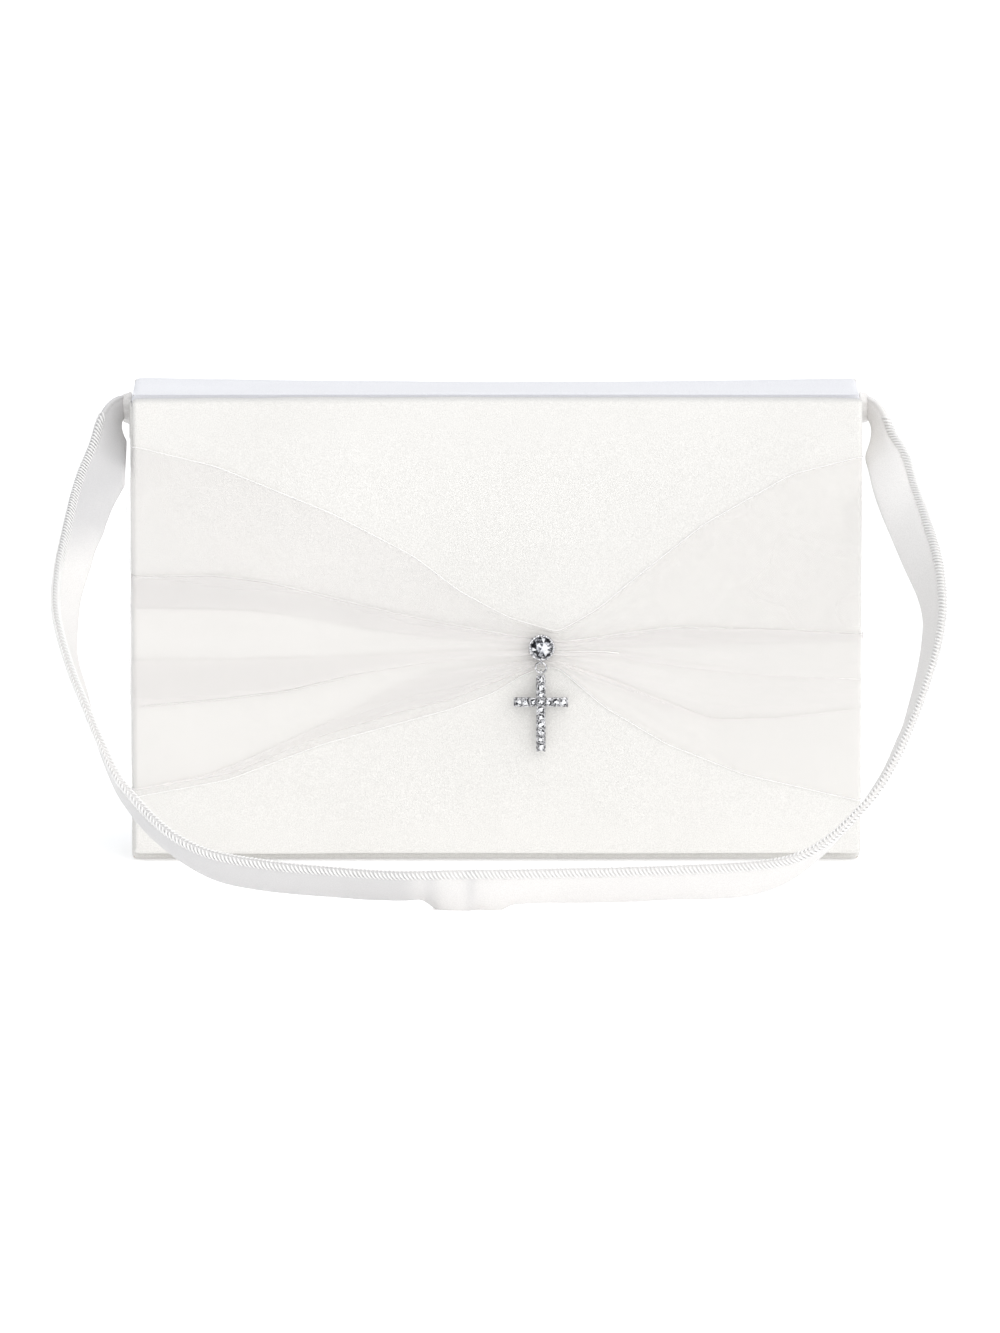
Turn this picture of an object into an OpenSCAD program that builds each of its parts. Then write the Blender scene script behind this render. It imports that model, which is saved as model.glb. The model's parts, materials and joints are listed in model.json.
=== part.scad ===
// Communion purse that carries a prayer book: a satin-covered hard case with a
// hinged top panel and full-length front flap, an organza sash gathered under
// a crystal bezel, a hanging stone-set cross and a sewn carrying strap.
// Origin at the centre of the flat base, +Z up, the flap faces -Y.

/* [Case] */
// Width of the case
case_w = 200; // [180:1:240]
// Depth of the case without the flap
case_d = 32; // [26:1:50]
// Height of the case walls
case_h = 125.4; // [124.4:0.1:126]
// Thickness of the stiffening boards
board_t = 2; // [1.4:0.1:2.4]
// Thickness of the satin covering
satin_t = 0.5; // [0.3:0.1:0.8]
// Thickness of the lining of the pocket
lining_t = 0.4; // [0.3:0.1:0.8]

/* [Flap] */
// Width of the flap
flap_w = 199.4; // [178:0.2:200]
// How far the flap sits to the right of the case
flap_shift = 0.5; // [-1:0.1:1]
// Thickness of the covered and padded flap
flap_t = 3.8; // [3.4:0.1:4.6]
// Gap between the flap's lower edge and the surface below
flap_gap_low = 2.1; // [1:0.1:6]
// Gap between the closed flap and the front of the case
flap_gap = 0.3; // [0.2:0.1:0.6]

/* [Fabric hinges] */
// Radius of the rolled satin at each fold
roll_r = 1.5; // [1.2:0.1:1.6]
// Height of both fold lines
fold_z = 127.1; // [127.1:0.1:127.4]
// Running clearance around a roll
roll_gap = 0.25; // [0.2:0.05:0.4]

/* [Sash and ornament] */
// Thickness of the organza layers where they lie flat
sash_t = 0.5; // [0.3:0.1:0.8]
// Ornament centre, distance right of the case centre
orn_x = 12.6; // [0:0.2:30]
// Ornament centre height
orn_z = 59.8; // [50:0.1:70]
// Outer radius of the bezel
bezel_r = 3.65; // [3.4:0.05:4]
// Height of the cross below its bail
cross_h = 21; // [18:0.5:23]
// Width across the arms of the cross
cross_w = 15; // [12:0.5:18]
// Width of a bar of the cross
bar_w = 2.8; // [2.4:0.1:3.2]
// Radius of one stone of the cross
stone_r = 0.95; // [0.7:0.05:1]

/* [Strap] */
// Width of the strap
strap_w = 12.2; // [10:0.2:14]
// Thickness of the strap
strap_t = 2; // [1.4:0.1:2.4]

/* [Hidden] */
$fn = 48;

satin_c = "#f6f4ef";
board_c = "#c9b79a";
lining_c = "#efece6";
metal_c = "#c4c6ca";
stone_c = "#dfe8f0";
organza_c = "#ece9e7";

hw = case_w / 2;
hd = case_d / 2;
in_x = hw - satin_t - board_t;      // inside faces of the side boards
in_y = hd - satin_t - board_t;      // inside faces of the front and back boards
board_z0 = satin_t;                 // underside of the base board
floor_z = satin_t + board_t;        // top of the base board
wall_z = case_h - 0.4;              // top of the wall boards

// flap planes, front to back
fy0 = -hd - flap_gap - flap_t;      // satin face
fy1 = fy0 + satin_t;                // padding face
fy2 = fy1 + 0.7;                    // board face
fy4 = -hd - flap_gap;               // back face
fy3 = fy4 - satin_t;                // back of the board
fx0 = flap_shift - flap_w / 2;
fx1 = flap_shift + flap_w / 2;
ftop = fold_z - 1.2;
fboard_top = ftop - 0.7;

// fold lines
front_fold_y = -hd - 2;
back_fold_y = hd - 1.6;

// top panel
tz0 = case_h + 0.5;
tz1 = tz0 + 2.9;
ty0 = -hd - 0.2;
ty1 = back_fold_y - 1.8;
tx = hw - 0.4;

snap_z = 20;

// charm heights
bezel_back_y = fy0 - 2.3;
charm_y = fy0 - 3.5;
ring_major = 1.45;
ring_wire = 0.3;
ring_top_z = orn_z - bezel_r - 0.5;
ring_z = ring_top_z - ring_major;
ring_low_z = ring_z - ring_major;
charm_x = orn_x - 0.2;
cross_top_z = ring_low_z - 0.55;
arm_z = cross_top_z - 7.2;

// strap route: centre of the band, then the direction towards its stitched edge
route = [
  [-102.3, 1, 121.2, 0.05, -0.3, 0.95],
  [-104.2, -2.5, 120, -0.4, -0.25, 0.85],
  [-106.2, -10, 115, -0.85, -0.1, 0.45],
  [-107.4, -19, 109, -0.95, 0, 0.3],
  [-109.4, -28, 103, -0.95, 0, 0.3],
  [-111.8, -37, 96.5, -0.85, -0.15, 0.5],
  [-113.6, -44.5, 90.5, -0.8, -0.3, 0.55],
  [-115.2, -51.5, 84.5, -0.65, -0.4, 0.6],
  [-116, -58.5, 78.5, -0.55, -0.55, 0.65],
  [-116, -64.5, 73, -0.5, -0.6, 0.6],
  [-115.4, -70.5, 67.5, -0.35, -0.7, 0.6],
  [-113.6, -76, 61.5, -0.3, -0.75, 0.6],
  [-111.4, -81, 55.5, -0.25, -0.8, 0.55],
  [-109, -86, 50, -0.15, -0.8, 0.55],
  [-106.6, -90, 44, -0.1, -0.8, 0.55],
  [-104, -94.5, 38.5, -0.05, -0.85, 0.55],
  [-101, -98, 32.5, 0, -0.85, 0.5],
  [-97.2, -101, 28, 0.05, -0.85, 0.5],
  [-92.2, -103.5, 22.5, 0.1, -0.85, 0.5],
  [-86.4, -105.8, 17.8, 0.1, -0.85, 0.5],
  [-80, -107.2, 14, 0.1, -0.8, 0.6],
  [-73.4, -108.2, 11.5, 0.1, -0.75, 0.7],
  [-65.5, -108.8, 10, 0.1, -0.7, 0.7],
  [-56, -109.2, 8.8, 0.05, -0.7, 0.7],
  [-45.5, -109.5, 8, 0.05, -0.7, 0.7],
  [-33.5, -109.8, 7, 0, -0.7, 0.7],
  [-23, -110, 6.7, 0, -0.7, 0.7],
  [-15, -110.2, 6.4, 0.05, -0.6, 0.8],
  [-7, -110.4, 6.2, 0, -0.5, 0.85],
  [0, -110.2, 6.2, -0.05, -0.5, 0.85],
  [6.5, -110, 6.6, -0.05, -0.6, 0.8],
  [17, -109.8, 6.9, 0, -0.6, 0.8],
  [30.5, -109.8, 7.1, 0, -0.6, 0.8],
  [44, -109.7, 7.4, 0, -0.6, 0.8],
  [54.5, -109.5, 7.8, 0, -0.6, 0.8],
  [64, -109.4, 8.2, -0.05, -0.6, 0.8],
  [72, -109, 9.4, -0.1, -0.7, 0.7],
  [78.5, -108.2, 11.3, -0.1, -0.85, 0.55],
  [84, -107.2, 14.3, -0.05, -0.9, 0.4],
  [89.2, -105.6, 18, 0.05, -0.95, 0.35],
  [94, -103.5, 22.6, 0.1, -0.95, 0.35],
  [98.9, -101, 27.5, 0.15, -0.9, 0.35],
  [102.8, -98, 32.5, 0.2, -0.9, 0.4],
  [106.5, -94.2, 38.6, 0.25, -0.85, 0.45],
  [109.4, -90.2, 44.2, 0.25, -0.85, 0.5],
  [112, -85.7, 50, 0.3, -0.8, 0.5],
  [114.3, -80.8, 56, 0.35, -0.75, 0.55],
  [116.3, -75.6, 61.8, 0.4, -0.75, 0.55],
  [117.8, -69.8, 67.8, 0.45, -0.65, 0.6],
  [118.6, -64, 73.6, 0.45, -0.65, 0.65],
  [118.3, -59, 78, 0.45, -0.55, 0.7],
  [117.4, -54.3, 82.2, 0.55, -0.45, 0.7],
  [116, -49.5, 86.2, 0.65, -0.35, 0.65],
  [114.4, -44.5, 90.2, 0.75, -0.25, 0.6],
  [112.3, -38, 95.5, 0.85, -0.15, 0.55],
  [110.2, -31, 100.7, 0.95, 0, 0.3],
  [108.6, -24.3, 105.4, 1, 0, 0.2],
  [107.6, -16.8, 110.6, 0.95, -0.1, 0.35],
  [106.4, -9, 115.8, 0.7, -0.3, 0.65],
  [104.4, -3, 119.8, 0.3, -0.35, 0.85],
  [102.3, 1, 121.2, -0.05, -0.4, 0.9]];
last = len(route) - 1;

function unit(v) = v / norm(v);
function pos(i) = [for (k = [0:2]) route[i][k] * (k == 0 ? case_w / 200 : 1)];
function tan_at(i) = unit(pos(min(i + 1, last)) - pos(max(i - 1, 0)));
function raw_w(i) = [for (k = [3:5]) route[i][k]];
function wide_at(i) = unit(raw_w(i) - tan_at(i) * (raw_w(i) * tan_at(i)));
function nor_at(i) = cross(tan_at(i), wide_at(i));
function disc(r, n, w, o) = [for (k = [0:n - 1]) [w + r * cos(360 * k / n), o + r * sin(360 * k / n)]];

// satin strip folded round the interfacing, its open edges meeting at the stitched edge
function folded(h, t, g) = [[h, g], [h, t * 0.7], [h - t * 0.8, t], [-h + t * 0.8, t],
                            [-h, t / 2], [-h, -t / 2], [-h + t * 0.8, -t], [h - t * 0.8, -t],
                            [h, -t * 0.7], [h, -g], [-h + 0.6, -g], [-h + 0.6, g]];

// sweeps a section, given as [across, through] pairs, from station a to station b;
// the sides listed in turn are split along their other diagonal
module sweep(sec, a, b, turn = []) {
  n = len(sec);
  m = b - a;
  pts = [for (i = [a:b]) for (s = sec) pos(i) + wide_at(i) * s[0] + nor_at(i) * s[1]];
  side = [for (i = [0:m - 1]) for (k = [0:n - 1])
          let (k2 = (k + 1) % n, p = i * n + k, q = i * n + k2, r = (i + 1) * n + k2, s = (i + 1) * n + k)
          each (len(search(k, turn)) > 0 ? [[p, s, q], [q, s, r]] : [[p, s, r], [p, r, q]])];
  cap0 = [[for (k = [0:n - 1]) k]];
  cap1 = [[for (k = [n - 1:-1:0]) m * n + k]];
  polyhedron(points = pts, faces = concat(side, cap0, cap1), convexity = 10);
}

// upright block with rounded corner columns
module column_box(x0, x1, y0, y1, z0, z1, r) {
  translate([x0 + r, y0, z0]) cube([x1 - x0 - 2 * r, y1 - y0, z1 - z0]);
  translate([x0, y0 + r, z0]) cube([x1 - x0, y1 - y0 - 2 * r, z1 - z0]);
  for (x = [x0 + r, x1 - r]) for (y = [y0 + r, y1 - r])
    translate([x, y, z0]) cylinder(r = r, h = z1 - z0);
}

// block between two corners
module block(x0, x1, y0, y1, z0, z1) {
  translate([x0, y0, z0]) cube([x1 - x0, y1 - y0, z1 - z0]);
}

// disc or rod along Y
module rod_y(x, z, r, y0, y1) {
  translate([x, y0, z]) rotate([-90, 0, 0]) cylinder(r = r, h = y1 - y0);
}

// rod along X
module rod_x(y, z, r, x0, x1) {
  translate([x0, y, z]) rotate([0, 90, 0]) cylinder(r = r, h = x1 - x0);
}

// wire ring whose own axis points along X
module eye_x(x, y, z, major, wire) {
  translate([x, y, z]) rotate([0, 90, 0])
    rotate_extrude($fn = 36) translate([major, 0]) circle(r = wire, $fn = 16);
}

/* case */
module body_satin() {
  color(satin_c) difference() {
    column_box(-hw, hw, -hd, hd, 0, case_h, 1.2);
    block(-hw + satin_t, hw - satin_t, -hd + satin_t, hd - satin_t, board_z0, wall_z);
    block(-in_x + lining_t, in_x - lining_t, -in_y + lining_t, in_y - lining_t, wall_z - 1, case_h + 1);
    rod_y(0, snap_z, 6, -hd - 1, -hd + satin_t + 0.1);
  }
}
module front_board() {
  color(board_c) difference() {
    block(-hw + satin_t, hw - satin_t, -hd + satin_t, -in_y, floor_z, wall_z);
    rod_y(0, snap_z, 6, -hd, -hd + 1.7);
    rod_y(0, snap_z, 1.2, -hd, -in_y + 1);
    rod_y(0, snap_z, 6.5, -in_y - 0.4, -in_y + 1);
  }
}
module back_board() {
  color(board_c) block(-hw + satin_t, hw - satin_t, in_y, hd - satin_t, floor_z, wall_z);
}
module base_board() {
  color(board_c) block(-hw + satin_t, hw - satin_t, -hd + satin_t, hd - satin_t, board_z0, floor_z);
}
module left_side_board() {
  color(board_c) block(-hw + satin_t, -in_x, -in_y, in_y, floor_z, wall_z);
}
module right_side_board() {
  color(board_c) block(in_x, hw - satin_t, -in_y, in_y, floor_z, wall_z);
}
module pocket_lining() {
  color(lining_c) difference() {
    block(-in_x, in_x, -in_y, in_y, floor_z, wall_z);
    block(-in_x + lining_t, in_x - lining_t, -in_y + lining_t, in_y - lining_t, floor_z + lining_t, wall_z + 1);
  }
}
module snap_socket() {
  color(metal_c) difference() {
    union() {
      rod_y(0, snap_z, 6, -hd - 0.1, -hd + 1.7);
      rod_y(0, snap_z, 1.2, -hd + 1.6, -in_y - 0.4);
    }
    rod_y(0, snap_z, 2.3, -hd - 1, -hd + 1.2);
  }
}
module snap_socket_washer() {
  color(metal_c) rod_y(0, snap_z, 6.5, -in_y - 0.4, -in_y);
}
module strap_tab(s) {
  color(satin_c) block(min(s * hw, s * (hw + 0.7)), max(s * hw, s * (hw + 0.7)), -5, 7, 114.8, 125.2);
}
module left_strap_tab() { strap_tab(-1); }
module right_strap_tab() { strap_tab(1); }

/* top panel and folds */
module top_board() {
  color(board_c) block(-tx + satin_t, tx - satin_t, ty0 + satin_t, ty1 - satin_t, tz0 + lining_t, tz0 + lining_t + board_t);
}
module top_satin() {
  color(satin_c) difference() {
    block(-tx, tx, ty0, ty1, tz0, tz1);
    block(-tx + satin_t, tx - satin_t, ty0 + satin_t, ty1 - satin_t, tz0 - 1, tz0 + lining_t + board_t);
  }
}
module top_lining() {
  color(lining_c) block(-tx + satin_t, tx - satin_t, ty0 + satin_t, ty1 - satin_t, tz0, tz0 + lining_t);
}
module front_hinge_cloth() {
  color(satin_c) {
    rod_x(front_fold_y, fold_z, roll_r, -tx, tx);
    block(-tx, tx, front_fold_y + 1, ty0, fold_z - 0.6, fold_z + 1.1);
  }
}
module back_hinge_cloth() {
  color(satin_c) {
    rod_x(back_fold_y, fold_z, roll_r, -tx, tx);
    block(-tx, tx, ty1, back_fold_y - 1, fold_z - 0.6, fold_z + 1.1);
  }
}

/* flap */
module flap_board() {
  color(board_c) difference() {
    block(fx0 + satin_t, fx1 - satin_t, fy2, fy3, flap_gap_low + satin_t, fboard_top);
    rod_y(0, snap_z, 6, fy3 - 1.4, fy3 + 1);
    rod_y(0, snap_z, 6.5, fy2 - 1, fy2 + 0.3);
    rod_y(0, snap_z, 1.2, fy2, fy3);
  }
}
module flap_padding() {
  color("white") block(fx0 + satin_t, fx1 - satin_t, fy1, fy2, flap_gap_low + satin_t, fboard_top);
}
module flap_satin() {
  color(satin_c) difference() {
    union() {
      block(fx0 + 1.2, fx1 - 1.2, fy0, fy4, flap_gap_low, ftop);
      block(fx0, fx1, fy0 + 1.2, fy4, flap_gap_low, ftop);
      for (x = [fx0 + 1.2, fx1 - 1.2])
        translate([x, fy0 + 1.2, flap_gap_low]) cylinder(r = 1.2, h = ftop - flap_gap_low);
    }
    block(fx0 + satin_t, fx1 - satin_t, fy1, fy4 + 1, flap_gap_low + satin_t, fboard_top);
    rod_x(front_fold_y, fold_z, roll_r + roll_gap, fx0 - 1, fx1 + 1);
  }
}
module flap_lining() {
  color(lining_c) difference() {
    block(fx0 + satin_t, fx1 - satin_t, fy3, fy4, flap_gap_low + satin_t, fboard_top);
    rod_y(0, snap_z, 6, fy3 - 1, fy4 + 1);
  }
}
module snap_stud() {
  color(metal_c) {
    rod_y(0, snap_z, 6, fy3 - 1.4, fy4 + 0.05);
    rod_y(0, snap_z, 1.2, fy2 + 0.3, fy3);
    rod_y(0, snap_z, 1.8, fy4, fy4 + 1.1);
  }
}
module snap_stud_washer() {
  color(metal_c) rod_y(0, snap_z, 6.5, fy2, fy2 + 0.3);
}

/* sash and ornament */
module organza_sash() {
  color(organza_c) {
    translate([0, fy0, 0]) rotate([90, 0, 0]) linear_extrude(sash_t)
      polygon([
        [fx0 + 0.5, 114.5], [-77, 109.5], [-45, 96], [-22, 84], [-10, 75], [8, 65.5],
        [16.5, 64.5], [28, 70], [38, 78], [57, 93.5], [81, 107], [fx1 - 0.5, 112],
        [fx1 - 0.5, 17.5], [68, 24], [47, 32.5], [29, 43], [16.5, 54],
        [8, 53], [4, 48.5], [-12, 42], [-48, 32.5], [-73, 22.5], [fx0 + 0.5, 18.5]]);
    block(fx0 - sash_t, fx0 + 0.8, fy0 - sash_t, fy0, 18.5, 114.5);
    block(fx1 - 0.8, fx1 + sash_t, fy0 - sash_t, fy0, 17.5, 112);
    block(fx0 - sash_t, fx0, fy0 - sash_t, fy4, 18.5, 114.5);
    block(fx1, fx1 + sash_t, fy0 - sash_t, fy4, 17.5, 112);
    block(orn_x - 7, orn_x + 7, fy0 - 1.3, fy0 - 0.1, orn_z - 5, orn_z + 4.6);
    block(orn_x - 4, orn_x + 4, fy0 - 1.9, fy0 - 0.1, orn_z - 4.2, orn_z + 4);
  }
}
module gather_thread() {
  color("white") rod_y(orn_x, orn_z, 2.2, bezel_back_y, fy0 - 1.9);
}
module bezel() {
  color(metal_c) {
    difference() {
      rod_y(orn_x, orn_z, bezel_r - 0.2, bezel_back_y - 2.2, bezel_back_y);
      rod_y(orn_x, orn_z, 2.85, bezel_back_y - 3, bezel_back_y - 0.6);
    }
    translate([orn_x, bezel_back_y - 2, orn_z]) rotate([90, 0, 0])
      rotate_extrude($fn = 48) translate([bezel_r - 0.4, 0]) circle(r = 0.4, $fn = 16);
    eye_x(charm_x, charm_y, ring_top_z + 0.15, 0.75, 0.25);
    block(charm_x - 0.25, charm_x + 0.25, charm_y - 0.4, charm_y + 0.6, ring_top_z + 0.7, orn_z - bezel_r + 0.7);
  }
}
module bezel_crystal() {
  color(stone_c) translate([orn_x, bezel_back_y, orn_z]) rotate([90, 0, 0]) {
    translate([0, 0, 0.6]) cylinder(r1 = 0.5, r2 = 2.7, h = 1.1, $fn = 24);
    translate([0, 0, 1.7]) cylinder(r1 = 2.7, r2 = 1.5, h = 0.9, $fn = 24);
  }
}
module jump_ring() {
  color(metal_c) translate([charm_x, charm_y, ring_z]) rotate([90, 0, 0])
    rotate_extrude($fn = 48) translate([ring_major, 0]) circle(r = ring_wire, $fn = 16);
}

// stone centres: ten down the upright, three out along each arm
pitch = 2.06;
up_stones = [for (k = [0:9]) [0, cross_top_z - 1.35 - k * pitch]];
arm_stones = [for (s = [-1, 1]) for (k = [1:3]) [s * k * pitch, cross_top_z - 1.35 - 3 * pitch]];
arm_row_z = cross_top_z - 1.35 - 3 * pitch;
module cross_frame() {
  color(metal_c) {
    difference() {
      union() {
        block(charm_x - bar_w / 2, charm_x + bar_w / 2, charm_y - 0.5, charm_y + 0.8, cross_top_z - cross_h, cross_top_z);
        block(charm_x - cross_w / 2, charm_x + cross_w / 2, charm_y - 0.5, charm_y + 0.8, arm_row_z - bar_w / 2, arm_row_z + bar_w / 2);
        eye_x(charm_x, charm_y, ring_low_z - 0.12, 0.85, 0.22);
      }
      for (p = concat(up_stones, arm_stones))
        rod_y(charm_x + p[0], p[1], stone_r, charm_y - 1, charm_y + 0.2);
    }
  }
}
module cross_stones() {
  color(stone_c) for (p = concat(up_stones, arm_stones))
    translate([charm_x + p[0], charm_y + 0.2, p[1]]) rotate([90, 0, 0]) {
      cylinder(r = stone_r, h = 0.75, $fn = 16);
      translate([0, 0, 0.75]) cylinder(r1 = stone_r, r2 = 0.5, h = 0.4, $fn = 16);
    }
}

/* strap */
module strap_satin() {
  color(satin_c) sweep(folded(strap_w / 2, strap_t / 2, strap_t / 2 - 0.55), 0, last, [9, 11]);
}
module strap_interfacing() {
  g = strap_t / 2 - 0.65;
  u = strap_w / 2;
  color("white") sweep([[u - 0.5, -g], [u - 0.5, g], [-u + 0.7, g], [-u + 0.7, -g]], 0, last);
}
module strap_stitching() {
  color("white") for (s = [-1, 1])
    sweep(disc(0.18, 6, strap_w / 2 - 1.5, s * (strap_t / 2 + 0.36)), 3, last - 3);
}

body_satin();
front_board();
back_board();
base_board();
left_side_board();
right_side_board();
pocket_lining();
snap_socket();
snap_socket_washer();
left_strap_tab();
right_strap_tab();
top_board();
top_satin();
top_lining();
front_hinge_cloth();
back_hinge_cloth();
flap_board();
flap_padding();
flap_satin();
flap_lining();
snap_stud();
snap_stud_washer();
organza_sash();
gather_thread();
bezel();
bezel_crystal();
jump_ring();
cross_frame();
cross_stones();
strap_satin();
strap_interfacing();
strap_stitching();
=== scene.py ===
import json
import math

import bpy
import bmesh
import numpy as np
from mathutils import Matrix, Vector


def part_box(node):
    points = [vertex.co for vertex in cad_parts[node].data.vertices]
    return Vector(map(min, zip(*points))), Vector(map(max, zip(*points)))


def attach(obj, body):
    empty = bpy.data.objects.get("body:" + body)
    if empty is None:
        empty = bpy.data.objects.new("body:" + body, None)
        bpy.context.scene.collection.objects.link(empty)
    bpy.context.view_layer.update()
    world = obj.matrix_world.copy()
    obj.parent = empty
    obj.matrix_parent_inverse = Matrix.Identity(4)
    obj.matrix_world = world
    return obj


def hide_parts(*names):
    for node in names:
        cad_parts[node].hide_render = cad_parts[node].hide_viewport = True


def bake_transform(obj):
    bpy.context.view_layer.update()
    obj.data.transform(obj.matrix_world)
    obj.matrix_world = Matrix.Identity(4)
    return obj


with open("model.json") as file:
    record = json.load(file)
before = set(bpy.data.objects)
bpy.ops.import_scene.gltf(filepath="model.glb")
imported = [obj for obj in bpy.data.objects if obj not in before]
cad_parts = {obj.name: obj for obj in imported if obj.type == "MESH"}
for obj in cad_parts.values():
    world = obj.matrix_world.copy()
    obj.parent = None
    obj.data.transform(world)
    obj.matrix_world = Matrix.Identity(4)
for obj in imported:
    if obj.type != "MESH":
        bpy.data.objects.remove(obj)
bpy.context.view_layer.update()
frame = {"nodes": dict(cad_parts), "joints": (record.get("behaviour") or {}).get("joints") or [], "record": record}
joints = {j["name"]: j for j in frame["joints"]}


def box(name):
    lo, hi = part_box(name)
    return np.array(lo) * 1000, np.array(hi) * 1000


def joint_at(name):
    return np.array(joints[name]["pos_m"]) * 1000


# ---------------------------------------------------------------- camera
cam_data = bpy.data.cameras.new("camera")
cam = bpy.data.objects.new("camera", cam_data)
bpy.context.scene.collection.objects.link(cam)
cam_data.lens = 300
cam_data.sensor_width = 36
cam_data.clip_start = 0.1
cam_data.clip_end = 60
ELEV = math.radians(7.5)
aim = Vector((0.0012, -0.0201, 0.05405))
cam.location = aim - Vector((0, math.cos(ELEV), -math.sin(ELEV))) * 3.0433
cam.rotation_euler = (math.pi / 2 - ELEV, 0, 0)
bpy.context.scene.camera = cam


# ---------------------------------------------------------------- helpers (all lengths here in mm)
def hash01(i, j, k):
    v = np.sin(i * 127.1 + j * 311.7 + k * 74.7) * 43758.5453
    return v - np.floor(v)


def vnoise(x, y, seed=0.0):
    """Smooth value noise in -1..1."""
    x, y = np.asarray(x, float), np.asarray(y, float)
    i, j = np.floor(x), np.floor(y)
    u, v = x - i, y - j
    u, v = u * u * (3 - 2 * u), v * v * (3 - 2 * v)
    a = hash01(i, j, seed) * (1 - u) + hash01(i + 1, j, seed) * u
    b = hash01(i, j + 1, seed) * (1 - u) + hash01(i + 1, j + 1, seed) * u
    return (a * (1 - v) + b * v) * 2 - 1


def smooth01(t):
    t = np.clip(t, 0, 1)
    return t * t * (3 - 2 * t)


def build(name, verts, faces, material, body=None, smooth=True, sharp=None, fix=True, slot=None, hides=()):
    me = bpy.data.meshes.new(name)
    me.from_pydata((np.asarray(verts, float) * 0.001).tolist(), [], [list(map(int, f)) for f in faces])
    me.update()
    if fix:
        bm = bmesh.new()
        bm.from_mesh(me)
        bmesh.ops.recalc_face_normals(bm, faces=bm.faces)
        bm.to_mesh(me)
        bm.free()
    me.polygons.foreach_set("use_smooth", [smooth] * len(me.polygons))
    if sharp is not None:
        me.set_sharp_from_angle(angle=math.radians(sharp))
    ob = bpy.data.objects.new(name, me)
    bpy.context.scene.collection.objects.link(ob)
    me.materials.append(material)
    if body:
        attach(ob, body)
    if hides:
        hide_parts(*hides)
    return ob


def quad_grid(nu, nv, base=0, close_v=False):
    out = []
    for i in range(nu - 1):
        for j in range(nv if close_v else nv - 1):
            k = (j + 1) % nv
            out.append((base + i * nv + j, base + (i + 1) * nv + j, base + (i + 1) * nv + k, base + i * nv + k))
    return out


def slab_faces(nu, nv):
    """Faces of a closed slab whose front grid is followed by its back grid."""
    n = nu * nv
    front = quad_grid(nu, nv)
    back = [(f[3] + n, f[2] + n, f[1] + n, f[0] + n) for f in front]
    rim = [i * nv for i in range(nu)] + [(nu - 1) * nv + j for j in range(1, nv)]
    rim += [i * nv + nv - 1 for i in range(nu - 2, -1, -1)] + [j for j in range(nv - 2, 0, -1)]
    side = [(rim[k], rim[(k + 1) % len(rim)], rim[(k + 1) % len(rim)] + n, rim[k] + n) for k in range(len(rim))]
    return front + back + side


def strip_caps(rings, n, first=True, last=True):
    """Caps a loft whose rings are symmetric: point k faces point n - k."""
    out = []
    for r, on in ((0, first), (rings - 1, last)):
        if on:
            for k in range(n // 2):
                a, b, c, d = k, k + 1, (n - k - 1) % n, (n - k) % n
                f = [r * n + v for v in dict.fromkeys((a, b, c, d))]
                if len(f) > 2:
                    out.append(f)
    return out


def rounded_ring(hx, hy, r, nx, ny=6, nc=5):
    """Plan outline of a rounded rectangle, symmetric about y = 0, starting at its left end."""
    half = [(-hx, t) for t in np.linspace(0, hy - r, ny, endpoint=False)]
    half += [(-hx + r - r * math.cos(a), hy - r + r * math.sin(a)) for a in np.linspace(0, math.pi / 2, nc, endpoint=False)]
    half += [(t, hy) for t in np.linspace(-hx + r, hx - r, nx, endpoint=False)]
    half += [(hx - r + r * math.sin(a), hy - r + r * math.cos(a)) for a in np.linspace(0, math.pi / 2, nc, endpoint=False)]
    half += [(hx, t) for t in np.linspace(hy - r, 0, ny)]
    return np.array(half + [(x, -y) for x, y in half[-2:0:-1]])


def ball(center, r, seg=10, rings=6, scale=(1, 1, 1), rot=None):
    pts = [(0, 0, 1)]
    for i in range(1, rings):
        a = math.pi * i / rings
        for j in range(seg):
            b = 2 * math.pi * j / seg
            pts.append((math.sin(a) * math.cos(b), math.sin(a) * math.sin(b), math.cos(a)))
    pts.append((0, 0, -1))
    f = [(0, 1 + j, 1 + (j + 1) % seg) for j in range(seg)]
    for i in range(rings - 2):
        for j in range(seg):
            a, b = 1 + i * seg + j, 1 + i * seg + (j + 1) % seg
            f.append((a, a + seg, b + seg, b))
    k = len(pts) - 1
    f += [(k, k - seg + (j + 1) % seg, k - seg + j) for j in range(seg)]
    p = np.array(pts) * np.array(scale) * r
    if rot is not None:
        p = p @ np.asarray(rot).T
    return p + np.asarray(center), f


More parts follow.
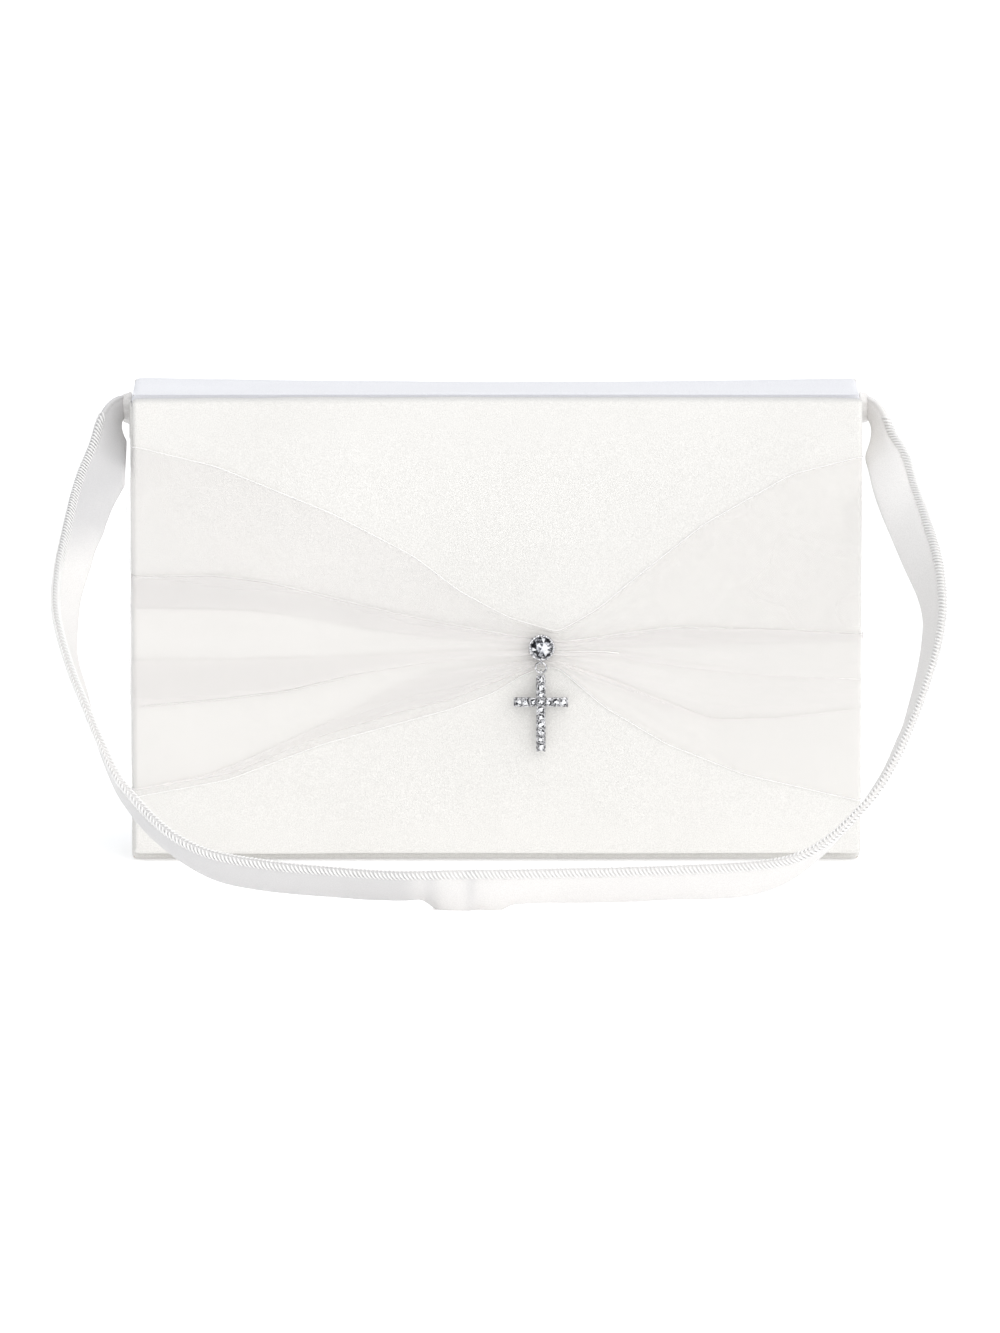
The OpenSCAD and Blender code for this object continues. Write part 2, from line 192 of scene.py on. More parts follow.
def tube(path, r, seg=8, closed=False, up=(0.31, 0.17, 0.93)):
    """Round tube along a path, with rounded ends when open. r may be a list."""
    P = np.asarray(path, float)
    m = len(P)
    R = np.full(m, r, float) if np.isscalar(r) else np.asarray(r, float)
    T = np.roll(P, -1, 0) - np.roll(P, 1, 0) if closed else np.gradient(P, axis=0)
    T /= np.linalg.norm(T, axis=1)[:, None]
    a = np.cross(T[0], up)
    a /= np.linalg.norm(a)
    V = []
    for i in range(m):
        a = a - T[i] * (a @ T[i])
        a /= np.linalg.norm(a)
        b = np.cross(T[i], a)
        ang = np.arange(seg) * 2 * math.pi / seg
        V.append(P[i] + R[i] * (np.cos(ang)[:, None] * a + np.sin(ang)[:, None] * b))
    V = np.concatenate(V)
    F = quad_grid(m, seg, close_v=True)
    if closed:
        # match the last ring to the first by its nearest start point
        d = np.linalg.norm(V[(m - 1) * seg:] - V[0], axis=1)
        s = int(np.argmin(d))
        F += [((m - 1) * seg + (s + j) % seg, j, (j + 1) % seg, (m - 1) * seg + (s + j + 1) % seg) for j in range(seg)]
    else:
        V = np.concatenate([V, [P[0] - T[0] * R[0] * 0.45, P[-1] + T[-1] * R[-1] * 0.45]])
        e = m * seg
        F += [(e, (j + 1) % seg, j) for j in range(seg)]
        F += [(e + 1, (m - 1) * seg + j, (m - 1) * seg + (j + 1) % seg) for j in range(seg)]
    return V, F


def lathe(profile, center, seg=48, axis="-y"):
    """Turns (radius, height) pairs about an axis that points out of the front, capped at both ends where the radius is 0."""
    prof = [(max(r, 0), h) for r, h in profile]
    V, F, idx = [], [], []
    for r, h in prof:
        if r < 1e-6:
            idx.append([len(V)])
            V.append((0, -h, 0))
        else:
            idx.append(list(range(len(V), len(V) + seg)))
            for j in range(seg):
                a = 2 * math.pi * j / seg
                V.append((r * math.cos(a), -h, r * math.sin(a)))
    for a, b in zip(idx, idx[1:]):
        for j in range(seg):
            k = (j + 1) % seg
            if len(a) == 1 and len(b) > 1:
                F.append((a[0], b[j], b[k]))
            elif len(b) == 1 and len(a) > 1:
                F.append((a[j], b[0], a[k]))
            elif len(a) > 1:
                F.append((a[j], b[j], b[k], a[k]))
    return np.array(V) + np.asarray(center), F


class Pile:
    """Several closed solids in one mesh."""

    def __init__(self):
        self.v, self.f, self.n = [], [], 0

    def add(self, vf):
        v, f = vf
        self.v.append(np.asarray(v, float))
        self.f += [tuple(int(i) + self.n for i in q) for q in f]
        self.n += len(v)
        return self

    def data(self):
        return np.concatenate(self.v), self.f


# ---------------------------------------------------------------- materials
def mat(name, color, rough=0.5, metal=0.0, spec=0.5, sheen=0.0, sheen_rough=0.4, alpha=1.0, coat=0.0):
    m = bpy.data.materials.new(name)
    m.use_nodes = True
    b = m.node_tree.nodes["Principled BSDF"]
    b.inputs["Base Color"].default_value = (*color, 1)
    b.inputs["Roughness"].default_value = rough
    b.inputs["Metallic"].default_value = metal
    b.inputs["Specular IOR Level"].default_value = spec
    b.inputs["Sheen Weight"].default_value = sheen
    b.inputs["Sheen Roughness"].default_value = sheen_rough
    b.inputs["Coat Weight"].default_value = coat
    b.inputs["Alpha"].default_value = alpha
    m.diffuse_color = (*color, alpha)
    return m, m.node_tree, b


def coords(nt, scale=(1, 1, 1), rot=(0, 0, 0), kind="Object"):
    tc = nt.nodes.new("ShaderNodeTexCoord")
    mp = nt.nodes.new("ShaderNodeMapping")
    mp.inputs["Scale"].default_value = scale
    mp.inputs["Rotation"].default_value = rot
    nt.links.new(tc.outputs[kind], mp.inputs["Vector"])
    return mp.outputs["Vector"]


def noise_tex(nt, vec, scale, detail=2.0, rough=0.5):
    n = nt.nodes.new("ShaderNodeTexNoise")
    n.inputs["Scale"].default_value = scale
    n.inputs["Detail"].default_value = detail
    n.inputs["Roughness"].default_value = rough
    nt.links.new(vec, n.inputs["Vector"])
    return n.outputs["Fac"]


def wave_tex(nt, vec, scale, direction="X", distortion=0.0, detail=0.0):
    n = nt.nodes.new("ShaderNodeTexWave")
    n.wave_type = "BANDS"
    n.bands_direction = direction
    n.inputs["Scale"].default_value = scale
    n.inputs["Distortion"].default_value = distortion
    n.inputs["Detail"].default_value = detail
    nt.links.new(vec, n.inputs["Vector"])
    return n.outputs["Fac"]


def math_node(nt, op, a, b):
    n = nt.nodes.new("ShaderNodeMath")
    n.operation = op
    for i, v in enumerate((a, b)):
        if isinstance(v, (int, float)):
            n.inputs[i].default_value = v
        else:
            nt.links.new(v, n.inputs[i])
    return n.outputs[0]


def ramp(nt, fac, stops):
    n = nt.nodes.new("ShaderNodeValToRGB")
    els = n.color_ramp.elements
    while len(els) < len(stops):
        els.new(0.5)
    for e, (p, c) in zip(els, stops):
        e.position = p
        e.color = (*c, 1)
    nt.links.new(fac, n.inputs["Fac"])
    return n.outputs["Color"]


def bump(nt, bsdf, height, strength, distance):
    n = nt.nodes.new("ShaderNodeBump")
    n.inputs["Strength"].default_value = strength
    n.inputs["Distance"].default_value = distance
    nt.links.new(height, n.inputs["Height"])
    nt.links.new(n.outputs["Normal"], bsdf.inputs["Normal"])
    return n


def cloth_material(name, dark, light, rough=0.5, sheen=0.2, pitch=0.0003, fine=0.35, bumpy=0.35, spec=0.4, alpha=1.0, mottle=900):
    """Woven cloth: warp and weft bands, a fine thread mottle and a slow variation of colour, plus painted shade: a
    point attribute mixes the colour towards a darker, bluish shade.
    """
    m, nt, b = mat(name, light, rough, spec=spec, sheen=sheen, alpha=alpha)
    v = coords(nt, rot=(0.0, math.radians(33), math.radians(33)))
    k = 0.05 / pitch  # a wave texture at scale 1 has a period of about 1/20 of a unit
    warp = wave_tex(nt, v, 6.28 * k, "X", 1.2, 1.0)
    weft = wave_tex(nt, v, 6.28 * k * 0.8, "Z", 1.2, 1.0)
    vo = coords(nt)
    grain = noise_tex(nt, vo, mottle * 3.8, 2.0, 0.6)
    slow = noise_tex(nt, vo, 18, 2.0, 0.5)
    mix = math_node(nt, "ADD", math_node(nt, "MULTIPLY", grain, 0.8), math_node(nt, "MULTIPLY", slow, 0.2))
    col = ramp(nt, mix, [(0.38, dark), (0.62, light)])
    # painted shade: a point attribute darkens the cloth towards a bluish shade where shade falls (grooves, cast shadow,
    # folds turned from the light)
    painted_shade_attr = nt.nodes.new("ShaderNodeAttribute")
    painted_shade_attr.attribute_name = "crease"
    shade = nt.nodes.new("ShaderNodeMix")
    shade.data_type = "RGBA"
    shade.inputs[7].default_value = (dark[0] * 0.62, dark[1] * 0.63, dark[2] * 0.66, 1)
    nt.links.new(painted_shade_attr.outputs["Fac"], shade.inputs[0])
    nt.links.new(col, shade.inputs[6])
    nt.links.new(shade.outputs[2], b.inputs["Base Color"])
    weave = math_node(nt, "MULTIPLY", warp, weft)
    h = math_node(nt, "ADD", math_node(nt, "MULTIPLY", weave, fine), math_node(nt, "MULTIPLY", grain, 1 - fine))
    bump(nt, b, h, bumpy, 0.0002)
    return m


satin = cloth_material("satin", (0.734, 0.723, 0.699), (0.841, 0.83, 0.806), rough=0.46, sheen=0.12, pitch=0.00032, bumpy=0.5)
# painted light: the top panel uses a lighter, cooler copy of the satin, standing in for the sky light on its top face
top_satin_painted_light = cloth_material("satin_top", (0.86, 0.862, 0.895), (0.93, 0.933, 0.96), spec=0.08, rough=0.6, sheen=0.12, pitch=0.00032, bumpy=0.5)
strap_mat = cloth_material("satin_strap", (0.768, 0.754, 0.742), (0.85, 0.836, 0.824), rough=0.46, sheen=0.12, pitch=0.00025, bumpy=0.35, spec=0.35)
lining_mat = cloth_material("lining_satin", (0.74, 0.725, 0.69), (0.83, 0.815, 0.785), rough=0.38, sheen=0.1, pitch=0.00022, bumpy=0.3)
thread_mat = cloth_material("sewing_thread", (0.92, 0.914, 0.906), (0.98, 0.974, 0.966), rough=0.5, sheen=0.2, pitch=0.00018, bumpy=0.6, mottle=2200)
stitch_shade_mat = cloth_material("seam_thread", (0.66, 0.64, 0.62), (0.78, 0.76, 0.74), rough=0.55, sheen=0.1, pitch=0.00018, bumpy=0.5, mottle=2200)
wadding_mat = cloth_material("wadding", (0.84, 0.84, 0.83), (0.94, 0.94, 0.93), rough=0.95, sheen=0.3, pitch=0.0008, bumpy=0.8, mottle=500)


def board_material():
    m, nt, b = mat("grey_board", (0.5, 0.43, 0.34), 0.85, spec=0.25)
    vo = coords(nt)
    speck = noise_tex(nt, vo, 1400, 4.0, 0.7)
    streak = noise_tex(nt, coords(nt, (1, 1, 9)), 120, 3.0, 0.6)
    mix = math_node(nt, "ADD", math_node(nt, "MULTIPLY", speck, 0.6), math_node(nt, "MULTIPLY", streak, 0.4))
    nt.links.new(ramp(nt, mix, [(0.3, (0.33, 0.27, 0.20)), (0.7, (0.56, 0.49, 0.39))]), b.inputs["Base Color"])
    bump(nt, b, mix, 0.6, 0.0001)
    return m


def organza_material():
    m, nt, b = mat("organza", (0.92, 0.91, 0.90), 0.5, spec=0.25, sheen=0.2, alpha=0.265)
    v = coords(nt)
    warp = wave_tex(nt, v, 6.28 * 0.05 / 0.00022, "X", 0.8, 1.0)
    weft = wave_tex(nt, v, 6.28 * 0.05 / 0.00022, "Z", 0.8, 1.0)
    grid = math_node(nt, "MAXIMUM", warp, weft)
    tint = noise_tex(nt, v, 30, 2.0, 0.5)
    # painted light and shade: a point attribute lightens or darkens the organza's colour band by band
    a = nt.nodes.new("ShaderNodeAttribute")
    a.attribute_name = "tone"
    mix = math_node(nt, "ADD", math_node(nt, "MULTIPLY", grid, 0.05), math_node(nt, "MULTIPLY", tint, 0.24))
    mix = math_node(nt, "ADD", mix, math_node(nt, "MULTIPLY", a.outputs["Fac"], 0.8))
    nt.links.new(ramp(nt, mix, [(0.2, (0.83, 0.825, 0.83)), (0.5, (0.935, 0.912, 0.902)), (0.85, (0.99, 0.97, 0.955))]), b.inputs["Base Color"])
    bump(nt, b, grid, 0.1, 0.00008)
    return m


def metal_painted_reflection_material(name, dark, light, rough=0.2, grain=900, detail=3.0):
    m, nt, b = mat(name, light, rough, metal=1.0)
    v = coords(nt)
    # painted reflection: the base colour runs from dark to light in a fine noise, standing in for reflections of dark
    # and bright surroundings
    n = noise_tex(nt, v, grain, detail, 0.65)
    nt.links.new(ramp(nt, n, [(0.36, dark), (0.62, light)]), b.inputs["Base Color"])
    r = math_node(nt, "ADD", math_node(nt, "MULTIPLY", n, 0.18), rough - 0.08)
    nt.links.new(r, b.inputs["Roughness"])
    bump(nt, b, noise_tex(nt, v, grain * 0.6, 2.0, 0.5), 0.3, 0.00006)
    return m


def stone_material(name, stops, grain=1500, share=0.2):
    m, nt, b = mat(name, (0.9, 0.93, 0.97), 0.12, metal=0.35, spec=0.5, coat=0.2)
    # painted reflection: each face gets a brightness from black to white, with a fine noise, standing in for the dark
    # and bright reflections of a cut stone
    a = nt.nodes.new("ShaderNodeAttribute")
    a.attribute_name = "facet"
    v = coords(nt)
    n = noise_tex(nt, v, grain, 2.0, 0.6)
    f = math_node(nt, "ADD", math_node(nt, "MULTIPLY", a.outputs["Fac"], 1 - share), math_node(nt, "MULTIPLY", n, share))
    tones = ((0.006, 0.007, 0.01), (0.03, 0.032, 0.038), (0.45, 0.46, 0.5), (0.97, 0.98, 1.0))
    nt.links.new(ramp(nt, f, list(zip(stops, tones))), b.inputs["Base Color"])
    return m


board_mat = board_material()
organza_mat = organza_material()
hem_mat = cloth_material("organza_hem", (0.93, 0.925, 0.915), (0.98, 0.975, 0.965), rough=0.5, sheen=0.3, pitch=0.0004, bumpy=0.4, mottle=1500)
fold_rim_highlight_mat = cloth_material("organza_fold", (0.80, 0.79, 0.78), (0.88, 0.87, 0.86), rough=0.5, sheen=0.1, pitch=0.0004, bumpy=0.3, mottle=1500)
# silver, cross silver and nickel all carry the painted reflection mottle
silver_mat = metal_painted_reflection_material("rhodium_silver", (0.20, 0.20, 0.21), (0.86, 0.86, 0.88), 0.22, 1500)
cross_mat = metal_painted_reflection_material("cross_silver", (0.10, 0.10, 0.105), (0.80, 0.80, 0.82), 0.24, 1100)
nickel_mat = metal_painted_reflection_material("nickel_snap", (0.42, 0.41, 0.40), (0.74, 0.73, 0.70), 0.3, 700)
stone_mat = stone_material("cut_stone", (0.36, 0.48, 0.51, 0.57), 1050, 0.55)
round_stone_mat = stone_material("round_cut_stone", (0.34, 0.46, 0.53, 0.70), 1300, 0.55)

def frame_slot(node):
    return next(q["material_slot"] for q in frame["record"]["subparts"] if q["node"] == node)


plain = {"satin": satin, "board": board_mat, "lining": lining_mat, "wadding": wadding_mat, "thread": thread_mat,
         "nickel": nickel_mat, "silver": silver_mat, "strap_satin": strap_mat, "organza": organza_mat, "crystal": stone_mat}
for part in frame["record"]["subparts"]:
    ob = frame["nodes"][part["node"]]
    if len(ob.data.materials) == 0:
        ob.data.materials.append(plain[part["material_slot"]])
    for i in range(len(ob.material_slots)):
        ob.material_slots[i].material = plain[part["material_slot"]]

# ---------------------------------------------------------------- sizes from the frame
case_lo, case_hi = box("body_satin")
flap_lo, flap_hi = box("flap_satin")
top_lo, top_hi = box("top_satin")
HX, HY, CASE_H = case_hi[0], case_hi[1], case_hi[2]
fold = joint_at("flap_fold")
back_fold = joint_at("top_fold")
FX0, FX1, FY, FYB, FZ0 = flap_lo[0], flap_hi[0], flap_lo[1], flap_hi[1], flap_lo[2]
orn = box("gather_thread")
OX, OZ = (orn[0][0] + orn[1][0]) / 2, (orn[0][2] + orn[1][2]) / 2


# ---------------------------------------------------------------- flap cover, one cloth from its lower edge over the fold
def crown(x, z):
    """How far the padded front stands proud of its plane."""
    ex = smooth01((np.minimum(x - FX0, FX1 - x) - 0.5) / 14)
    ez = smooth01((np.minimum(z - FZ0, 126 - z) - 0.5) / 14)
    return 0.22 * ex * ez + 0.07 * ex * ez * vnoise(x / 17, z / 15, 3.0) + 0.03 * vnoise(x / 6, z / 5, 8.0) * ex * ez


def end_stations(x0, x1, r, step, n=7):
    """Positions along x with a rounded end at each side, and how far the section shrinks there."""
    th = np.linspace(0, math.pi / 2, n)
    left = [(x0 + r - r * math.cos(t), r * (1 - math.sin(t))) for t in th]
    mid = [(x, 0.0) for x in np.linspace(x0 + r, x1 - r, int((x1 - x0) / step))[1:-1]]
    right = [(x1 - r + r * math.cos(t), r * (1 - math.sin(t))) for t in th[::-1]]
    return left + mid + right


def swept_cloth(name, stations, outer, thick, material, shape=None, **kw):
    """A closed cloth body: an outer path in (y, z) with its thickness, swept along x."""
    O = np.array(outer, float)
    T = np.gradient(O, axis=0)
    T /= np.linalg.norm(T, axis=1)[:, None]
    N = np.stack([T[:, 1], -T[:, 0]], 1)  # inwards
    thick = np.asarray(thick, float)
    n = len(O)
    V = []
    for x, shrink in stations:
        d = np.minimum(shrink, 0.46 * thick)[:, None]
        A, B = O + N * d, O + N * thick[:, None]
        if np.ndim(thick) and shrink > 0:
            B = B - N * (np.minimum(shrink * 0.25, 0.15 * thick))[:, None]
        loop = np.concatenate([A, B[::-1]])
        P = np.column_stack([np.full(2 * n, x), loop])
        if shape is not None:
            P = shape(P, n)
        V.append(P)
    F = quad_grid(len(V), 2 * n, close_v=True)
    for r in (0, len(V) - 1):
        for k in range(n - 1):
            F.append((r * 2 * n + k, r * 2 * n + k + 1, r * 2 * n + 2 * n - 2 - k, r * 2 * n + 2 * n - 1 - k))
    return build(name, np.concatenate(V), F, material, **kw)


def bow(x):
    """Rise of the soft fold towards the middle of the purse."""
    return 0.45 * (1 - np.clip(np.abs((x - 12) / 112), 0, 1) ** 2.2)


r = 1.25
path = [(FYB - 0.55, FZ0 + 0.28), (FYB - 0.75, FZ0 + 0.06), (FYB - 1.3, FZ0), (FYB - 1.9, FZ0)]
path += [(FY + r - r * math.sin(a), FZ0 + r - r * math.cos(a)) for a in np.linspace(0, math.pi / 2, 7)]
path += [(FY, z) for z in np.linspace(FZ0 + r, 124.6, 62)[1:]]
path += [(FY, 125.2), (FY, 125.7)]
path += [(FY + 1.6 - 1.6 * math.cos(a), 126.1 + 1.6 * math.sin(a)) for a in np.radians([0, 14, 28, 42, 56, 70, 84, 98, 112])]
path += [(-17.5, 127.25), (-17.15, 126.95), (-16.8, 126.85), (-16.3, 126.8), (-15.6, 126.8)]
path = np.array(path)
back_plane = FYB - 0.3
thick = []
for y, z in path:
    if z < FZ0 + r:
        thick.append(0.35 if y > FYB - 1.0 else 1.0)
    elif z < 124.7:
        thick.append(back_plane - y)
    else:
        thick.append(max(0.75, (back_plane - FY) - (z - 124.7) * 0.85))
thick = np.array(thick)
for i in range(len(path)):
    if path[i][1] > 126.7 and path[i][0] > -18.5:
        thick[i] = 0.45 if path[i][0] > -17.7 else 0.9


def flap_shape(P, n):
    x, y, z = P[:, 0], P[:, 1].copy(), P[:, 2].copy()
    front = np.zeros(len(P), bool)
    front[:n] = True
    face = front & (z > FZ0 + 0.3) & (z < 126.3)
    P[face, 1] -= crown(x, z)[face]
    w = smooth01((z - 122.5) / 5.5) * smooth01((-15.2 - y) / 1.6)
    ends = smooth01((np.minimum(x - FX0, FX1 - x)) / 9)
    P[:, 2] += bow(x) * w * ends * np.where(front, 1.0, 0.75)
    P[:, 2] += front * w * ends * 0.12 * vnoise(x / 11, 0 * x, 5.0)
    # the lower edge is not ruler straight
    low = front | (z < FZ0 + 1.0)
    P[:, 2] += low * 0.14 * vnoise(x / 31, 0 * x, 9.0) * smooth01((6 - (z - FZ0)) / 6) * ends
    return P


# bottom thickness fix: the inner path of the lower turn follows the back plane
flap_cover = swept_cloth("flap_cover", end_stations(FX0, FX1, 1.2, 1.9), path, thick, satin, flap_shape, slot="satin",
                         hides=("flap_satin", "front_hinge_cloth"))


def slab(name, gx, gy, place, thickness, material, **kw):
    """Thin closed cloth panel. place(s, t) gives the outer face and its outward direction."""
    F0 = np.array([[place(s, t) for t in gy] for s in gx], float)
    front, direction = F0[..., :3], F0[..., 3:]
    nu, nv = len(gx), len(gy)
    back = front - direction * thickness
    return build(name, np.concatenate([front.reshape(-1, 3), back.reshape(-1, 3)]), slab_faces(nu, nv), material, **kw)


def flap_lining_at(s, t):
    x = FX0 + 1.6 + s * (FX1 - FX0 - 3.2)
    z = FZ0 + 1.6 + t * (124.4 - FZ0 - 1.6)
    e = min(s, 1 - s) * 196, min(t, 1 - t) * 121
    edge = float(smooth01(min(e) / 1.2))
    y = FYB - 0.33 + 0.25 * edge - 0.05 * edge * (1 + float(vnoise(x / 13, z / 9, 2.0)))
    d = math.hypot(x, z - 20)
    if d < 7.5:
        y = min(y, FYB - 0.12)
    return (x, y, z, 0, 1, 0)


flap_lining = slab("flap_lining_cloth", np.linspace(0, 1, 70), np.linspace(0, 1, 46), flap_lining_at, 0.3, lining_mat,
                   body="flap", slot="lining", hides=("flap_lining",), sharp=50)


# writes the point attribute of painted shade that the cloth material uses to darken its colour
def mark_painted_shade(ob, rule):
    co = np.empty(len(ob.data.vertices) * 3)
    ob.data.vertices.foreach_get("co", co)
    P = co.reshape(-1, 3) * 1000
    ob.data.attributes.new("crease", "FLOAT", "POINT").data.foreach_set("value", rule(*P.T).astype(np.float32))


# painted shade: the satin is darkened along the soft groove at the top of the flap's fold
mark_painted_shade(flap_cover, lambda x, y, z: 0.42 * smooth01((z - bow(x) - 126.0) / 1.6) * smooth01((y + 22.5) / 2.4))
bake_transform(flap_cover)


# ---------------------------------------------------------------- case cover and its lining
def ring_loft(name, rings, material, displace=None, **kw):
    n = len(rings[0])
    V = np.concatenate(rings)
    if displace is not None:
        V = displace(V)
    F = quad_grid(len(rings), n, close_v=True) + strip_caps(len(rings), n)
    return build(name, V, F, material, **kw)


def rr3(hx, hy, rad, z, nx=84):
    p = rounded_ring(hx, hy, rad, nx, ny=9)
    return np.column_stack([p, np.full(len(p), z)])


rings = []
for a in np.linspace(0, math.pi / 2, 6):
    k = 1.4 * (1 - math.sin(a))
    rings.append(rr3(HX - k, HY - k, 1.3, 1.4 * (1 - math.cos(a))))
rings += [rr3(HX, HY, 1.3, z) for z in np.linspace(1.4, CASE_H - 0.7, 46)[1:]]
rings += [rr3(HX - 0.2, HY - 0.2, 1.2, CASE_H - 0.22), rr3(HX - 0.6, HY - 0.6, 1.0, CASE_H),
          rr3(HX - 2.35, HY - 2.35, 0.6, CASE_H), rr3(HX - 2.8, HY - 2.8, 0.5, CASE_H - 0.15),
          rr3(HX - 2.9, HY - 2.9, 0.5, CASE_H - 0.3), rr3(HX - 2.75, HY - 2.75, 0.5, CASE_H - 0.4),
          rr3(HX - 0.5, HY - 0.5, 0.6, CASE_H - 0.4), rr3(HX - 0.5, HY - 0.5, 0.6, CASE_H - 1.2),
          rr3(HX - 0.5, HY - 0.5, 0.6, 1.4), rr3(HX - 0.5, HY - 0.5, 0.6, 0.5)]


def soften_case(V):
    x, y, z = V.T
    out = (np.abs(x) > HX - 0.45) | (np.abs(y) > HY - 0.45)
    mid = smooth01(z / 12) * smooth01((CASE_H - 1 - z) / 12)
    sag = 0.12 * (vnoise(x / 19, z / 16, 11.0) - 1) * mid
    lateral = np.abs(x) > HX - 0.1
    wall = np.abs(y) > HY - 0.1
    V = V.copy()
    V[:, 0] += np.where(out & lateral & (np.abs(y) < HY - 2), np.sign(x) * sag, 0)
    V[:, 1] += np.where(out & wall & (np.abs(x) < HX - 2), np.sign(y) * sag, 0)
    # weight of a glued seam down the middle of the back, computed but not applied to the cover
    seam = np.exp(-((x + 31.0) / 0.55) ** 2) * (y > HY - 0.3) * smooth01(z / 3) * smooth01((CASE_H - z) / 3)
    return V


case_cover = ring_loft("case_cover", rings, satin, soften_case, body="case", slot="satin", hides=("body_satin",))

rings = [rr3(HX - 2.5, HY - 2.5, 0.3, 2.5)]
rings += [rr3(HX - 2.5, HY - 2.5, 0.3, z) for z in (6, 60, 118, CASE_H - 1.0, CASE_H - 0.62)]
rings += [rr3(HX - 2.7, HY - 2.7, 0.4, CASE_H - 0.5), rr3(HX - 2.88, HY - 2.88, 0.5, CASE_H - 0.6)]
rings += [rr3(HX - 2.95, HY - 2.95, 0.6, z) for z in np.linspace(CASE_H - 1.4, 4.6, 40)]
rings += [rr3(HX - 3.1, HY - 3.1, 0.8, 3.6), rr3(HX - 3.5, HY - 3.5, 1.0, 3.1), rr3(HX - 4.2, HY - 4.2, 1.0, 2.95)]


def soften_lining(V):
    x, y, z = V.T
    inner = (np.abs(x) < HX - 2.9) & (np.abs(y) < HY - 2.9) & (z > 4)
    k = (0.16 + 0.16 * vnoise((x + y) / 13, z / 21, 21.0) + 0.05 * vnoise((x + y) / 4, z / 9, 22.0)) * smooth01((CASE_H - 1 - z) / 8)
    V = V.copy()
    V[:, 1] -= np.where(inner & (np.abs(y) > HY - 3.4), np.sign(y) * k, 0)
    V[:, 0] -= np.where(inner & (np.abs(x) > HX - 3.4), np.sign(x) * k, 0)
    return V


pocket = ring_loft("pocket_lining_cloth", rings, lining_mat, soften_lining, body="case", slot="lining", hides=("pocket_lining",))

# ---------------------------------------------------------------- top panel cover, its lining and the back fold
TX0, TX1, TY0, TY1, TZ0 = top_lo[0], top_hi[0], top_lo[1], top_hi[1], top_lo[2]
TZ = top_hi[2] + 0.3
path = [(TY0 + 1.1, TZ0 + 0.25), (TY0 + 0.5, TZ0 + 0.3), (TY0 + 0.12, TZ0 + 0.65), (TY0 + 0.02, TZ0 + 1.2), (TY0 + 0.05, TZ0 + 1.8)]
path += [(TY0 + 1.25 - 1.2 * math.cos(a), TZ - 1.2 + 1.2 * math.sin(a)) for a in np.radians([12, 28, 44, 60, 76, 90])]
path += [(y, TZ) for y in np.linspace(TY0 + 2.4, TY1 - 2.4, 15)]
path += [(TY1 - 1.25 + 1.2 * math.sin(a), TZ - 1.2 + 1.2 * math.cos(a)) for a in np.radians([0, 16, 32, 48, 64, 80])]
path += [(TY1 - 0.02, TZ0 + 1.3), (TY1 - 0.1, TZ0 + 0.7), (TY1 - 0.5, TZ0 + 0.3), (TY1 - 1.1, TZ0 + 0.25)]
path = np.array(path)
board_top = box("top_board")[1][2]


def top_cover_mesh():
    st = end_stations(TX0, TX1, 2.4, 1.9, 9)
    n = len(path)
    V = []
    under = np.column_stack([np.linspace(path[0][0], path[-1][0], n), np.full(n, TZ0 + 0.22)])
    mid = (path + under) / 2
    for x, shrink in st:
        k = shrink / 2.4
        A = path + (np.array([0.0, TZ0 + 1.0]) - path) * np.column_stack([0.03 * k * np.ones(n), 0.86 * k ** 1.3 * np.ones(n)])
        loop = np.concatenate([A, under[::-1]])
        P = np.column_stack([np.full(2 * n, x), loop])
        y, z = P[:, 1], P[:, 2]
        up = smooth01((z - TZ0 - 1.2) / 1.2)
        depth = smooth01((y - TY0) / (TY1 - TY0))
        sag = (1 - np.clip(abs(x - 5) / 98, 0, 1) ** 2)
        P[:, 2] += up * ((float(bow(x)) - 0.75) * (1 - depth) ** 2 + (1.15 - 1.1 * sag) * depth)
        P[:, 2] += up * 0.09 * vnoise(x / 14 + 0 * y, y / 8, 31.0)
        over = up > 0.9
        P[:, 2] = np.where(over, np.maximum(P[:, 2], board_top + 0.12), P[:, 2])
        V.append(P)
    F = quad_grid(len(V), 2 * n, close_v=True)
    for rr in (0, len(V) - 1):
        for k in range(n - 1):
            F.append((rr * 2 * n + k, rr * 2 * n + k + 1, rr * 2 * n + 2 * n - 2 - k, rr * 2 * n + 2 * n - 1 - k))
    return np.concatenate(V), F


tv, tf = top_cover_mesh()
# the top cover wears the painted-light copy of the satin
top_cover = build("top_cover", tv, tf, top_satin_painted_light, body="top_panel", slot="satin", hides=("top_satin",), sharp=60)


# painted shade: the top panel's satin is darkened along its front edge, in the groove behind the flap's fold
mark_painted_shade(top_cover, lambda x, y, z: 0.5 * smooth01((TY0 + 1.15 - y) / 0.9))


def top_lining_at(s, t):
    x = TX0 + 1.3 + s * (TX1 - TX0 - 2.6)
    y = TY0 + 1.3 + t * (TY1 - TY0 - 2.6)
    edge = float(smooth01(min(min(s, 1 - s) * 196, min(t, 1 - t) * 26) / 1.2))
    z = TZ0 + 0.2 - 0.22 * edge + 0.04 * edge * float(vnoise(x / 9, y / 7, 41.0))
    return (x, y, z, 0, 0, -1)


slab("top_lining_cloth", np.linspace(0, 1, 70), np.linspace(0, 1, 14), top_lining_at, 0.3, lining_mat,
     body="top_panel", slot="lining", hides=("top_lining",), sharp=50)

by, bz = back_fold[1], back_fold[2]
path = [(by + 0.55, CASE_H - 0.55), (by + 0.75, CASE_H), (by + 1.15, CASE_H + 0.5), (by + 1.5, CASE_H + 1.15), (by + 1.6, CASE_H + 1.9)]
path += [(by + 1.6 * math.cos(a), bz + 0.9 + 1.6 * math.sin(a)) for a in np.radians([12, 27, 42, 57, 72, 87])]
path += [(by - 0.8, bz + 2.35), (by - 1.5, bz + 1.9), (by - 2.1, bz + 1.5), (by - 2.7, bz + 1.3)]
th = [0.6] * len(path)


